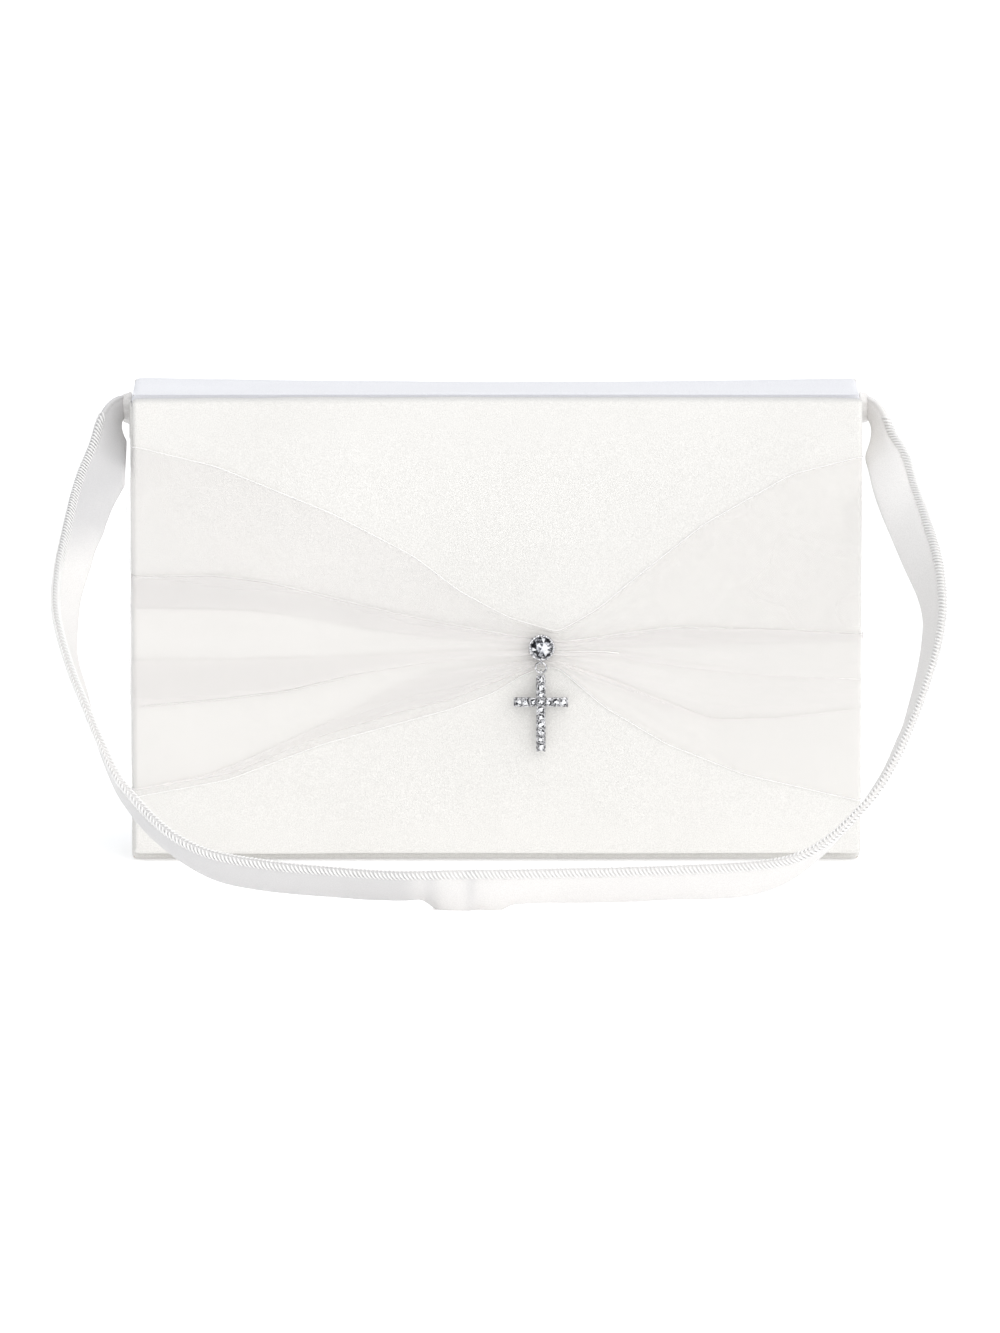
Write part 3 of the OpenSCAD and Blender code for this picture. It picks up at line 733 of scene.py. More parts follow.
def back_shape(P, n):
    x = P[:, 0]
    e = smooth01(np.minimum(x - TX0, TX1 - x) / 9)
    P[:, 1] += 0.15 * e * vnoise(x / 12, 0 * x, 51.0) * smooth01((P[:, 2] - CASE_H) / 1.2)
    P[:, 2] -= 0.85 * e * (1 - np.clip(np.abs(x - 5) / 98, 0, 1) ** 2) * smooth01((P[:, 2] - CASE_H - 1.0) / 1.8)
    return P


back_cloth = swept_cloth("back_fold_cloth", end_stations(TX0, TX1, 0.5, 1.9, 4), path[::-1], th, satin, back_shape, slot="satin",
                         hides=("back_hinge_cloth",))
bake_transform(back_cloth)

# ---------------------------------------------------------------- organza sash
def smooth_line(points, xs, width=5.0):
    p = np.array(points, float)
    step = 0.5
    fine = np.arange(xs.min() - 4 * width, xs.max() + 4 * width, step)
    z = np.interp(fine, p[:, 0], p[:, 1])
    lo, hi = p[0], p[-1]
    s0 = (p[1, 1] - p[0, 1]) / (p[1, 0] - p[0, 0])
    s1 = (p[-1, 1] - p[-2, 1]) / (p[-1, 0] - p[-2, 0])
    z = np.where(fine < lo[0], lo[1] + (fine - lo[0]) * s0, z)
    z = np.where(fine > hi[0], hi[1] + (fine - hi[0]) * s1, z)
    m = int(width / step)
    k = np.hanning(2 * m + 3)
    k /= k.sum()
    z = np.convolve(np.pad(z, m + 1, mode="edge"), k, "valid")
    return np.interp(xs, fine, z)


# fold lines of the sash, from its upper edge to its lower one: [x, z] on the front of the flap
left_lines = [
    [(-98.8, 114.7), (-76.5, 109.3), (-44.5, 96.2), (-22, 84.3), (-10, 75), (4, 67.5), (12.6, 65)],
    [(-98.5, 69), (-70, 69), (-51.5, 67), (-37, 64.2), (-18.5, 61.8), (4, 61), (12.6, 61.2)],
    [(-98.5, 80), (-77, 80.2), (-62, 78.2), (-44.5, 73.8), (-26, 69), (-15, 66.8), (4, 63.2), (12.6, 62.4)],
    [(-98.5, 42), (-77, 44), (-57.5, 46.6), (-37, 51.8), (-17, 55.2), (4, 56.9), (12.6, 57.8)],
    [(-98.5, 57), (-70, 57), (-45, 57.4), (-18, 58.4), (4, 58.7), (12.6, 59.4)],
    [(-98.5, 19.5), (-72, 24.2), (-48, 34.3), (-28, 40.5), (-12, 44.5), (4, 51.2), (12.6, 55.2)],
    [(-98.5, 20.5), (-80, 24.2), (-71.5, 27.4), (-57.5, 33.8), (-39, 42.4), (-29.5, 48.2), (-17, 53.6), (4, 55.6), (12.6, 56.6)],
    [(-98.5, 18), (-73.5, 22.7), (-47.5, 32.6), (-12, 42.4), (0, 47), (7, 51.6), (12.6, 53.8)],
]
right_lines = [
    [(12.6, 65), (17, 63.6), (28, 70), (37.5, 78), (57, 93.4), (81, 107.2), (99.7, 111.9)],
    [(12.6, 61.2), (18, 59.6), (40, 59.8), (56, 59.4), (87, 60.6), (99.7, 61.0)],
    [(12.6, 62.4), (17, 61.2), (24, 62), (33, 63.4), (48.5, 65.5), (75, 64.9), (99.7, 63.4)],
    [(12.6, 57.8), (18.5, 57), (30, 57), (41, 55.2), (55, 53.3), (75, 51.6), (99.7, 50.5)],
    [(12.6, 59.4), (18.5, 58.6), (30, 58.6), (41, 57), (55, 54.8), (75, 51.9), (99.7, 50.5)],
    [(12.6, 55.2), (17, 54.6), (35.5, 46.6), (47, 42), (60, 38.4), (76.5, 39.4), (99.7, 42.4)],
    [(12.6, 56.6), (17, 56), (35.5, 49.6), (47, 44.8), (60, 39.8), (76.5, 40.2), (99.7, 42.6)],
    [(12.6, 53.8), (17, 54), (29.5, 43.1), (47, 32.6), (68, 24.3), (99.7, 16.9)],
]
line_depth = [0.26, 0.34, 0.66, 0.78, 0.50, 0.36, 0.66, 0.28]
counts = [26, 10, 30, 10, 30, 10, 18]
swell = [0.7, 0.0, 0.5, 0.0, 0.55, 0.0, 0.3]


def sash_profile(x):
    """Cross-section of the sash at x: z of each thread line, upper edge first."""
    xs = np.array([x])
    side = left_lines if x < OX else right_lines
    zs = np.array([cache[(x < OX, k)][0] if False else line_at(k, x) for k in range(8)])
    return zs


table_x = np.arange(-100.0, 101.5, 0.5)
table_z = []
for k in range(8):
    pts = left_lines[k][:-1] + [((left_lines[k][-1][0]), (left_lines[k][-1][1]))] + right_lines[k][1:]
    table_z.append(smooth_line(pts, table_x, 3.2))


def line_at(k, x):
    return float(np.interp(x, table_x, table_z[k]))


def sash_section(x):
    g = math.exp(-((x - OX) / 11.0) ** 2)      # closeness to the gather
    near = math.exp(-abs(x - OX) / 26.0)
    z = np.array([line_at(k, x) for k in range(8)])
    # keep the order of the pleats where they run together
    d = np.array(line_depth) * (1 + 0.15 * near)
    Z, D, Q = [], [], []
    q = 0.0
    for k, c in enumerate(counts):
        t = np.linspace(0, 1, c, endpoint=(k == len(counts) - 1))
        Z.append(z[k] + (z[k + 1] - z[k]) * t)
        wide = min(1.0, abs(z[k + 1] - z[k]) / 14)
        D.append(d[k] + (d[k + 1] - d[k]) * smooth01(t) + swell[k] * wide * np.sin(math.pi * t) ** 1.3)
        Q.append(q + t)
        q += 1
    Z, D, Q = np.concatenate(Z), np.concatenate(D), np.concatenate(Q)
    n = len(Z)
    v = np.linspace(0, 1, n)
    # gathers: many small ridges that fan out of the middle and die away
    fan = 0.75 * math.exp(-abs(x - OX) / 16.0) + 0.26 * math.exp(-abs(x - OX) / 55.0)
    D = D + fan * (np.sin(v * 97 + 0.8 * math.sin(x / 23)) * 0.5 + 0.5 + 0.35 * np.sin(v * 53 + 1.1))
    # slow swell of the loose cloth
    loose = min(1.0, abs(x - OX) / 40.0)
    D = D + loose * (0.16 * vnoise(x / 24 + 0 * v, Q * 2.1, 61.0) + 0.05 * vnoise(x / 7 + 0 * v, Q * 6, 62.0))
    # bunched up to a rounded rope at the gather
    D = D + g * (0.75 * np.sin(math.pi * v) ** 0.8)
    D[0] = D[-1] = 0.30
    for _ in range(2):
        Z[1:-1] = 0.25 * Z[:-2] + 0.5 * Z[1:-1] + 0.25 * Z[2:]
        D[1:-1] = 0.25 * D[:-2] + 0.5 * D[1:-1] + 0.25 * D[2:]
    pinch = smooth01(1 - abs(x - OX) / 4.5)
    D = np.minimum(D, 9 - pinch * (9 - 1.75)) if pinch > 0 else D
    return Z, np.maximum(D, 0.22)


RC = 1.2  # radius of the flap's front corners
stations = []
xl, xr = FX0 + RC, FX1 - RC
for s in np.linspace(0, 1, 5):
    stations.append(("sl", s))
for a in np.linspace(0, 90, 7)[1:-1]:
    stations.append(("cl", a))
front_x = np.concatenate([np.linspace(xl, OX - 30, 52), np.linspace(OX - 30, OX + 30, 72)[1:-1], np.linspace(OX + 30, xr, 44)])
for x in front_x:
    stations.append(("f", x))
for a in np.linspace(0, 90, 7)[1:-1]:
    stations.append(("cr", a))
for s in np.linspace(1, 0, 5):
    stations.append(("sr", s))
S_out, S_dir = [], []
for kind, val in stations:
    if kind == "f":
        Z, D = sash_section(val)
        c = crown(np.full(len(Z), val), Z)
        P = np.column_stack([np.full(len(Z), val), FY - D - c, Z])
        N = np.tile([0.0, -1.0, 0.0], (len(Z), 1))
    else:
        lefty = kind in ("sl", "cl")
        sx = -1 if lefty else 1
        xc = xl if lefty else xr
        Z, D = sash_section(xc)
        ang = math.radians(val if kind == "cl" else (90 - val if kind == "cr" else 90))
        if kind == "cl":
            ang = math.radians(90 - val)
        if kind == "cr":
            ang = math.radians(val)
        if kind in ("cl", "cr"):
            P = np.column_stack([xc + sx * (RC + D) * math.sin(ang), (FY + RC) - (RC + D) * math.cos(ang), Z])
            N = np.tile([sx * math.sin(ang), -math.cos(ang), 0.0], (len(Z), 1))
        else:
            y = (FYB - 0.28) + (FY + RC - FYB + 0.28) * val
            Dt = D * (0.35 + 0.65 * smooth01(val * 1.6)) if val < 1 else D
            Dt = np.maximum(Dt, 0.16)
            P = np.column_stack([xc + sx * (RC + Dt), np.full(len(Z), y), Z])
            N = np.tile([float(sx), 0.0, 0.0], (len(Z), 1))
    S_out.append(P)
    S_dir.append(N)
S_out = np.array(S_out)
# soft bulge where the sash turns the left edge
sz = S_out[..., 2]
bul = np.exp(-((sz - 94) / 9.0) ** 2) * 1.1
for i, (kind, val) in enumerate(stations):
    if kind in ("sl", "cl"):
        w = 1.0 if kind == "cl" else float(smooth01(val * 2))
        S_out[i, :, 0] -= bul[i] * w * (1.0 if kind == "sl" else math.sin(math.radians(90 - val)))

# open sheet without thickness: its normal from the grid itself
du = np.gradient(S_out, axis=0)
dv = np.gradient(S_out, axis=1)
nn = np.cross(du, dv)
nn /= np.maximum(np.linalg.norm(nn, axis=2, keepdims=True), 1e-9)
nu, nv = S_out.shape[:2]
sash = build("organza_sash_cloth", S_out.reshape(-1, 3), quad_grid(nu, nv), organza_mat,
             body="flap", slot="organza", hides=("organza_sash",), fix=True)
# painted light and shade per pleat band: darker above the first pleat, lighter where the cloth lies single and slack,
# as each band catches the light
run = np.concatenate([np.full(c, k) for k, c in enumerate(counts)])
painted_light_left = np.array([0.32, 0.5, 0.62, 0.5, 0.78, 0.5, 0.45])[run]
painted_light_right = np.array([0.5, 0.5, 0.6, 0.5, 0.62, 0.55, 0.72])[run]
tone = np.zeros((nu, nv))
for i in range(nu):
    w = float(smooth01((S_out[i, nv // 2, 0] - OX + 12) / 24))
    tone[i] = painted_light_left * (1 - w) + painted_light_right * w
for _ in range(3):
    tone[:, 1:-1] = 0.25 * tone[:, :-2] + 0.5 * tone[:, 1:-1] + 0.25 * tone[:, 2:]
sash.data.attributes.new("tone", "FLOAT", "POINT").data.foreach_set("value", tone.reshape(-1).astype(np.float32))
for label, col in (("upper", 0), ("lower", nv - 1)):
    v, f = tube(S_out[:, col] + nn[:, col] * 0.0, 0.12, 8)
    build(f"sash_{label}_hem", v, f, hem_mat, body="flap", slot="organza")
starts = np.concatenate([[0], np.cumsum(counts)])
fx = S_out[:, nv // 2, 0]
pile = Pile()
# thin tubes on chosen fold crests: the pressed fold edges of the cloth, in a lighter opaque cloth that also paints the
# bright highlight along each fold
for k, x0, x1, rad in ((2, -98.6, 7.5, 0.1), (3, -98.6, -38, 0.05), (2, 17.5, 66, 0.1), (4, 17.5, 60, 0.08), (1, 17.5, 48, 0.05)):
    rows = [i for i in range(nu) if x0 < fx[i] < x1 and (stations[i][0] == "f")]
    col = int(starts[k])
    pts = np.array([S_out[i, col] for i in rows])
    # sit on the outermost cloth beside the pressed fold
    pts[:, 1] = np.array([S_out[i, max(col - 3, 0):col + 4, 1].min() for i in rows]) - 0.03
    t = np.linspace(0, 1, len(pts))
    pile.add(tube(pts, rad * np.clip(np.minimum(t, 1 - t) * 12, 0.25, 1), 6))
v, f = pile.data()
build("sash_pressed_creases", v, f, fold_rim_highlight_mat, body="flap", slot="organza")

# winding that holds the gather, behind the bezel
ty0, ty1 = orn[0][1], orn[1][1]
wp = []
for i in range(150):
    a = i / 149 * 2 * math.pi * 6
    rr = 1.45 + 0.3 * math.sin(a * 0.37 + 1)
    wp.append((OX + rr * math.cos(a), (ty0 + ty1) / 2 + 0.06 * math.sin(a * 1.7), OZ + rr * math.sin(a)))
v, f = tube(wp, 0.13, 6)
build("gather_winding", v, f, thread_mat, body="flap", slot="thread", hides=("gather_thread",))

# ---------------------------------------------------------------- bezel, stones, ring and cross
bz_lo, bz_hi = box("bezel")
cr_lo, cr_hi = box("bezel_crystal")
BY = orn[0][1]                      # back of the bezel
pile = Pile()
pile.add(lathe([(0, 0.0), (2.4, 0.0), (3.2, 0.05), (3.42, 0.25), (3.45, 1.2), (3.4, 1.9), (3.3, 2.05), (3.02, 2.1), (2.9, 2.0), (2.86, 1.6),
                (2.85, 0.8), (0, 0.62)], (OX, BY, OZ), 56))
for i in range(28):
    a = 2 * math.pi * i / 28
    t = np.array([-math.sin(a), -0.55, math.cos(a)])
    t /= np.linalg.norm(t)
    c = np.array([OX + 3.3 * math.cos(a), BY - 2.05, OZ + 3.3 * math.sin(a)])
    p = [c - t * 0.5, c - t * 0.22, c + t * 0.22, c + t * 0.5]
    pile.add(tube(p, [0.2, 0.34, 0.34, 0.2], 8))
for i in range(6):
    a = 2 * math.pi * (i + 0.5) / 6
    u = np.array([math.cos(a), 0, math.sin(a)])
    c = np.array([OX, BY, OZ]) + u * 2.95 + np.array([0, -2.35, 0])
    pile.add(ball(c, 0.33, 10, 6, rot=None))
eye = joint_at("ring_swing")
ring_pts = [(eye[0], eye[1] + 0.75 * math.cos(a), eye[2] + 0.75 * math.sin(a)) for a in np.linspace(0, 2 * math.pi, 28, endpoint=False)]
pile.add(tube(ring_pts, 0.25, 10, closed=True))
pile.add(tube([(eye[0], eye[1] + 0.1, eye[2] + 0.75), (eye[0], eye[1] + 0.2, eye[2] + 1.0), (eye[0], eye[1] + 0.35, eye[2] + 1.35)], [0.24, 0.3, 0.34], 8))
v, f = pile.data()
bezel = build("crystal_bezel", v, f, silver_mat, body="flap", slot="silver", hides=("bezel",), sharp=40)


def cut_stone(center, r, h, seed, n=8, base=0.0):
    """Brilliant-cut stone whose table faces -Y. Returns vertices, faces and a painted reflection brightness for each
    face.
    """
    rings = [(0.54 * r, h, n, 0.5), (0.82 * r, 0.66 * h, n, 0.0), (r, 0.2 * h, 2 * n, 0.0)]
    V, idx = [], []
    for rad, hh, m, off in rings:
        idx.append(list(range(len(V), len(V) + m)))
        for j in range(m):
            a = 2 * math.pi * (j + off) / m
            V.append((rad * math.cos(a), -hh, rad * math.sin(a)))
    T, K, G = idx
    top = len(V)
    V.append((0, -h, 0))
    F = []
    for j in range(n):
        F.append((top, T[j], T[(j + 1) % n]))
        F.append((T[j], K[(j + 1) % n], T[(j + 1) % n]) if False else (T[j - 1], K[j], T[j]))
        F.append((K[j], G[2 * j], G[2 * j - 1]))
        F.append((K[j], G[2 * j + 1], G[2 * j]))
        F.append((T[j], K[j], G[2 * j + 1]))
        F.append((T[j], G[2 * j + 1], K[(j + 1) % n]))
    g2 = list(range(len(V), len(V) + 2 * n))
    for j in range(2 * n):
        a = 2 * math.pi * j / (2 * n)
        V.append((r * math.cos(a), -0.08 * h, r * math.sin(a)))
    cul = len(V)
    V.append((0, base, 0))
    for j in range(2 * n):
        k = (j + 1) % (2 * n)
        F.append((G[j], g2[j], g2[k], G[k]))
        F.append((g2[j], cul, g2[k]))
    # painted reflections: a random dark-to-bright value per face, every sixth face kept brighter
    rng = np.random.RandomState(seed)
    val = rng.rand(len(F))
    val[::6] = np.clip(0.45 + 0.55 * rng.rand(len(val[::6])), 0, 1)
    return np.array(V) + np.asarray(center), F, val


def build_stones(name, stones, body, hides, material=stone_mat):
    V, F, painted_reflections, n = [], [], [], 0
    for v, f, val in stones:
        V.append(v)
        F += [tuple(i + n for i in q) for q in f]
        painted_reflections += list(val)
        n += len(v)
    ob = build(name, np.concatenate(V), F, material, smooth=False, body=body, slot="crystal", hides=hides)
    at = ob.data.attributes.new("facet", "FLOAT", "FACE")
    at.data.foreach_set("value", np.array(painted_reflections, np.float32))
    return ob


build_stones("bezel_stone", [cut_stone((OX, BY - 1.6, OZ), 2.78, 1.05, 5, n=8, base=0.95)], "flap", ("bezel_crystal",), round_stone_mat)

jr = joint_at("cross_swing")
jpts = [(jr[0] + 1.45 * math.cos(a), jr[1] + 0.05 * math.sin(a / 2), jr[2] + 1.45 * math.sin(a)) for a in np.radians(np.linspace(206, 206 + 352, 56))]
v, f = tube(jpts, 0.3, 12, up=(0, 1, 0.01))
build("charm_jump_ring", v, f, silver_mat, body="jump_ring", slot="silver", hides=("jump_ring",))

cf_lo, cf_hi = box("cross_frame")
st_lo, st_hi = box("cross_stones")
CX, CY = jr[0], jr[1]
cross_top = cf_lo[2] + 21.0
pitch = 2.06
up_z = [cross_top - 1.35 - k * pitch for k in range(10)]
arm_z = up_z[3]
spots = [(0.0, z) for z in up_z] + [(s * k * pitch, arm_z) for s in (-1, 1) for k in (1, 2, 3)]


def bar(x0, x1, z0, z1, y0, y1, r=0.28, waist=0.0, steps=24, vertical=True):
    """Bar with rounded edges, a little narrower at its ends."""
    ring = []
    L0, L1 = (z0, z1) if vertical else (x0, x1)
    hw = ((x1 - x0) if vertical else (z1 - z0)) / 2
    mid = (x0 + x1) / 2 if vertical else (z0 + z1) / 2
    sec = []
    hy = (y1 - y0) / 2
    cy = (y0 + y1) / 2
    for cxn, cyn, a0 in ((1, 1, 0), (-1, 1, 90), (-1, -1, 180), (1, -1, 270)):
        for a in (0, 30, 60, 90):
            t = math.radians(a0 + a)
            sec.append((cxn * (1 - r / hw) + r / hw * math.cos(t), cyn * (hy - r) + r * math.sin(t)))
    V = []
    stations = np.linspace(L0, L1, steps)
    for i, s in enumerate(stations):
        end = min(s - L0, L1 - s)
        k = 1 - 0.18 * max(0, 1 - end / 0.35)
        for u, w in sec:
            off = hw * u * k
            V.append((mid + off, cy + w * (1 - 0.1 * max(0, 1 - end / 0.35)), s) if vertical else (s, cy + w * (1 - 0.1 * max(0, 1 - end / 0.35)), mid + off))
    n = len(sec)
    F = quad_grid(steps, n, close_v=True)
    F += [tuple(range(n)), tuple((steps - 1) * n + j for j in range(n))]
    return np.array(V), F


pile = Pile()
fy_back, fy_front = cf_hi[1], CY - 0.28
pile.add(bar(CX - 1.3, CX + 1.3, cf_lo[2], cross_top, fy_front, fy_back))
for s in (-1, 1):
    x0, x1 = sorted((CX + s * 1.25, CX + s * 7.45))
    pile.add(bar(x0, x1, arm_z - 1.3, arm_z + 1.3, fy_front, fy_back, vertical=False, steps=12))
for dx, z in spots:
    pile.add(lathe([(0.0, 0.0), (1.0, 0.0), (1.02, 0.45), (0.97, 0.52), (0.9, 0.5), (0.9, 0.15), (0.0, 0.12)], (CX + dx, CY - 0.1, z), 20))
beads = set()
for dx, z in spots:
    for sx in (-1, 1):
        for sz_ in (-1, 1):
            beads.add((round(dx + sx * 1.03, 2), round(z + sz_ * 1.03, 2)))
for dx, z in sorted(beads):
    pile.add(ball((CX + dx, CY - 0.62, z), 0.27, 8, 6, scale=(1, 1.25, 1)))
bail = [(CX, CY + 0.85 * math.cos(a), jr[2] - 1.57 + 0.85 * math.sin(a)) for a in np.linspace(0, 2 * math.pi, 26, endpoint=False)]
pile.add(tube(bail, 0.22, 10, closed=True))
v, f = pile.data()
build("cross_setting", v, f, cross_mat, body="cross", slot="silver", hides=("cross_frame",), sharp=40)
build_stones("cross_cut_stones", [cut_stone((CX + dx, CY - 0.42, z), 0.93, 0.62, 100 + i, n=6, base=0.3) for i, (dx, z) in enumerate(spots)],
             "cross", ("cross_stones",))

# ---------------------------------------------------------------- strap
route = [
    (-102.3, 1, 121.2, 0.05, -0.3, 0.95), (-104.2, -2.5, 120, -0.4, -0.25, 0.85), (-106.2, -10, 115, -0.85, -0.1, 0.45),
    (-107.4, -19, 109, -0.95, 0, 0.3), (-109.4, -28, 103, -0.95, 0, 0.3), (-111.8, -37, 96.5, -0.85, -0.15, 0.5),
    (-113.6, -44.5, 90.5, -0.8, -0.3, 0.55), (-115.2, -51.5, 84.5, -0.65, -0.4, 0.6), (-116, -58.5, 78.5, -0.55, -0.55, 0.65),
    (-116, -64.5, 73, -0.5, -0.6, 0.6), (-115.4, -70.5, 67.5, -0.35, -0.7, 0.6), (-113.6, -76, 61.5, -0.3, -0.75, 0.6),
    (-111.4, -81, 55.5, -0.25, -0.8, 0.55), (-109, -86, 50, -0.15, -0.8, 0.55), (-106.6, -90, 44, -0.1, -0.8, 0.55),
    (-104, -94.5, 38.5, -0.05, -0.85, 0.55), (-101, -98, 32.5, 0, -0.85, 0.5), (-97.2, -101, 28, 0.05, -0.85, 0.5),
    (-92.2, -103.5, 22.5, 0.1, -0.85, 0.5), (-86.4, -105.8, 17.8, 0.1, -0.85, 0.5), (-80, -107.2, 14, 0.1, -0.8, 0.6),
    (-73.4, -108.2, 11.5, 0.1, -0.75, 0.7), (-65.5, -108.8, 10, 0.1, -0.7, 0.7), (-56, -109.2, 8.8, 0.05, -0.7, 0.7),
    (-45.5, -109.5, 8, 0.05, -0.7, 0.7), (-33.5, -109.8, 7, 0, -0.7, 0.7), (-23, -110, 6.7, 0, -0.7, 0.7),
    (-15, -110.2, 6.4, 0.05, -0.6, 0.8), (-7, -110.4, 6.2, 0, -0.5, 0.85), (0, -110.2, 6.2, -0.05, -0.5, 0.85),
    (6.5, -110, 6.6, -0.05, -0.6, 0.8), (17, -109.8, 6.9, 0, -0.6, 0.8), (30.5, -109.8, 7.1, 0, -0.6, 0.8),
    (44, -109.7, 7.4, 0, -0.6, 0.8), (54.5, -109.5, 7.8, 0, -0.6, 0.8), (64, -109.4, 8.2, -0.05, -0.6, 0.8),
    (72, -109, 9.4, -0.1, -0.7, 0.7), (78.5, -108.2, 11.3, -0.1, -0.85, 0.55), (84, -107.2, 14.3, -0.05, -0.9, 0.4),
    (89.2, -105.6, 18, 0.05, -0.95, 0.35), (94, -103.5, 22.6, 0.1, -0.95, 0.35), (98.9, -101, 27.5, 0.15, -0.9, 0.35),
    (102.8, -98, 32.5, 0.2, -0.9, 0.4), (106.5, -94.2, 38.6, 0.25, -0.85, 0.45), (109.4, -90.2, 44.2, 0.25, -0.85, 0.5),
    (112, -85.7, 50, 0.3, -0.8, 0.5), (114.3, -80.8, 56, 0.35, -0.75, 0.55), (116.3, -75.6, 61.8, 0.4, -0.75, 0.55),
    (117.8, -69.8, 67.8, 0.45, -0.65, 0.6), (118.6, -64, 73.6, 0.45, -0.65, 0.65), (118.3, -59, 78, 0.45, -0.55, 0.7),
    (117.4, -54.3, 82.2, 0.55, -0.45, 0.7), (116, -49.5, 86.2, 0.65, -0.35, 0.65), (114.4, -44.5, 90.2, 0.75, -0.25, 0.6),
    (112.3, -38, 95.5, 0.85, -0.15, 0.55), (110.2, -31, 100.7, 0.95, 0, 0.3), (108.6, -24.3, 105.4, 1, 0, 0.2),
    (107.6, -16.8, 110.6, 0.95, -0.1, 0.35), (106.4, -9, 115.8, 0.7, -0.3, 0.65), (104.4, -3, 119.8, 0.3, -0.35, 0.85),
    (102.3, 1, 121.2, -0.05, -0.4, 0.9)]
R = np.array(route, float)
RP, RW = R[:, :3], R[:, 3:]
RW = RW / np.linalg.norm(RW, axis=1)[:, None]


def spline(P, m):
    """Catmull-Rom samples, m per span."""
    out = []
    n = len(P)
    for i in range(n - 1):
        p0, p1, p2, p3 = P[max(i - 1, 0)], P[i], P[i + 1], P[min(i + 2, n - 1)]
        for k in range(m):
            t = k / m
            out.append(0.5 * ((2 * p1) + (-p0 + p2) * t + (2 * p0 - 5 * p1 + 4 * p2 - p3) * t * t + (-p0 + 3 * p1 - 3 * p2 + p3) * t ** 3))
    out.append(P[-1])
    return np.array(out)


def smooth_rows(P, times, keep=1):
    P = P.copy()
    for _ in range(times):
        Q = P.copy()
        Q[keep:-keep] = 0.25 * P[keep - 1:-keep - 1] + 0.5 * P[keep:-keep] + 0.25 * P[keep + 1:len(P) - keep + 1]
        P = Q
    return P


SP = smooth_rows(spline(RP, 6), 10)
SW = smooth_rows(spline(RW, 6), 14)
# even spacing along the strap
seg = np.linalg.norm(np.diff(SP, axis=0), axis=1)
arc = np.concatenate([[0], np.cumsum(seg)])
LEN = arc[-1]
NS = int(LEN / 1.1)
sa = np.linspace(0, LEN, NS)
SP = np.column_stack([np.interp(sa, arc, SP[:, k]) for k in range(3)])
SW = np.column_stack([np.interp(sa, arc, SW[:, k]) for k in range(3)])
ST = np.gradient(SP, axis=0)
ST /= np.linalg.norm(ST, axis=1)[:, None]
SW -= ST * np.sum(SW * ST, axis=1)[:, None]
SW /= np.linalg.norm(SW, axis=1)[:, None]
SN = np.cross(ST, SW)
HALF = 6.1


def strap_sheet(s, w):
    """Offset of the band's middle surface along its normal and across it, at length s and distance w from its centre line."""
    root = smooth01(s / 22) * smooth01((LEN - s) / 22)
    x = np.interp(s, sa, SP[:, 0])
    bottom = smooth01((np.interp(s, sa, -SP[:, 1]) - 104) / 4)
    n = root * (0.42 * vnoise(s / 21, w / 7, 71.0) + 0.16 * vnoise(s / 8, w / 4, 72.0))
    n = n * (1 - 0.7 * smooth01((w - 2.6) / 1.5))
    far = smooth01((2 - w) / 8)
    b1 = np.exp(-((x + 9) / 7.5) ** 2) * bottom
    n = n + far * b1 * 1.2 - far * np.exp(-((x + 19) / 3.4) ** 2) * bottom * 1.2 - far * np.exp(-((x + 4.5) / 1.9) ** 2) * bottom * 1.3
    left = s if SP[0, 0] < 0 else LEN - s
    n = n + far * (0.7 * np.exp(-((left - 54) / 3.5) ** 2) - 0.9 * np.exp(-((left - 48) / 2.6) ** 2))
    across = -far * far * (smooth01((x + 21) / 6) * smooth01((5 - x) / 6)) * bottom * 2.3
    return n, across


def strap_point(s, w, n):
    """Point of the strap at length s, w across towards the stitched edge and n out along the normal."""
    s, w, n = np.broadcast_arrays(np.asarray(s, float), np.asarray(w, float), np.asarray(n, float))
    dn, dw = strap_sheet(s, w)
    left = s if SP[0, 0] < 0 else LEN - s
    w = HALF - (HALF - w) * (0.6 + 0.4 * smooth01(np.minimum(s, LEN - s) / 17))
    right = LEN - left
    outer = smooth01((w + 3) / 8)
    w = (w - 1.7 * (1 - outer) * smooth01((left - 2) / 9) * (1 - smooth01((left - 23) / 17))
         - outer * (1.3 * np.exp(-((left - 15) / 9) ** 2) + 1.0 * np.exp(-((left - 58) / 19) ** 2))
         - (0.8 + 1.3 * outer) * np.exp(-((right - 12) / 8) ** 2))
    P = np.stack([np.interp(s, sa, SP[:, k]) for k in range(3)], -1)
    W = np.stack([np.interp(s, sa, SW[:, k]) for k in range(3)], -1)
    N = np.stack([np.interp(s, sa, SN[:, k]) for k in range(3)], -1)
    Q = P + W * (w + dw)[..., None] + N * (n + dn)[..., None]
    # beside the case the band stays outside the covers
    limit = HX + 1.3 - 400 * smooth01((-24.5 - Q[..., 1]) / 6)
    Q[..., 0] = np.where(left < LEN / 2, np.minimum(Q[..., 0], -limit), np.maximum(Q[..., 0], limit))
    return Q


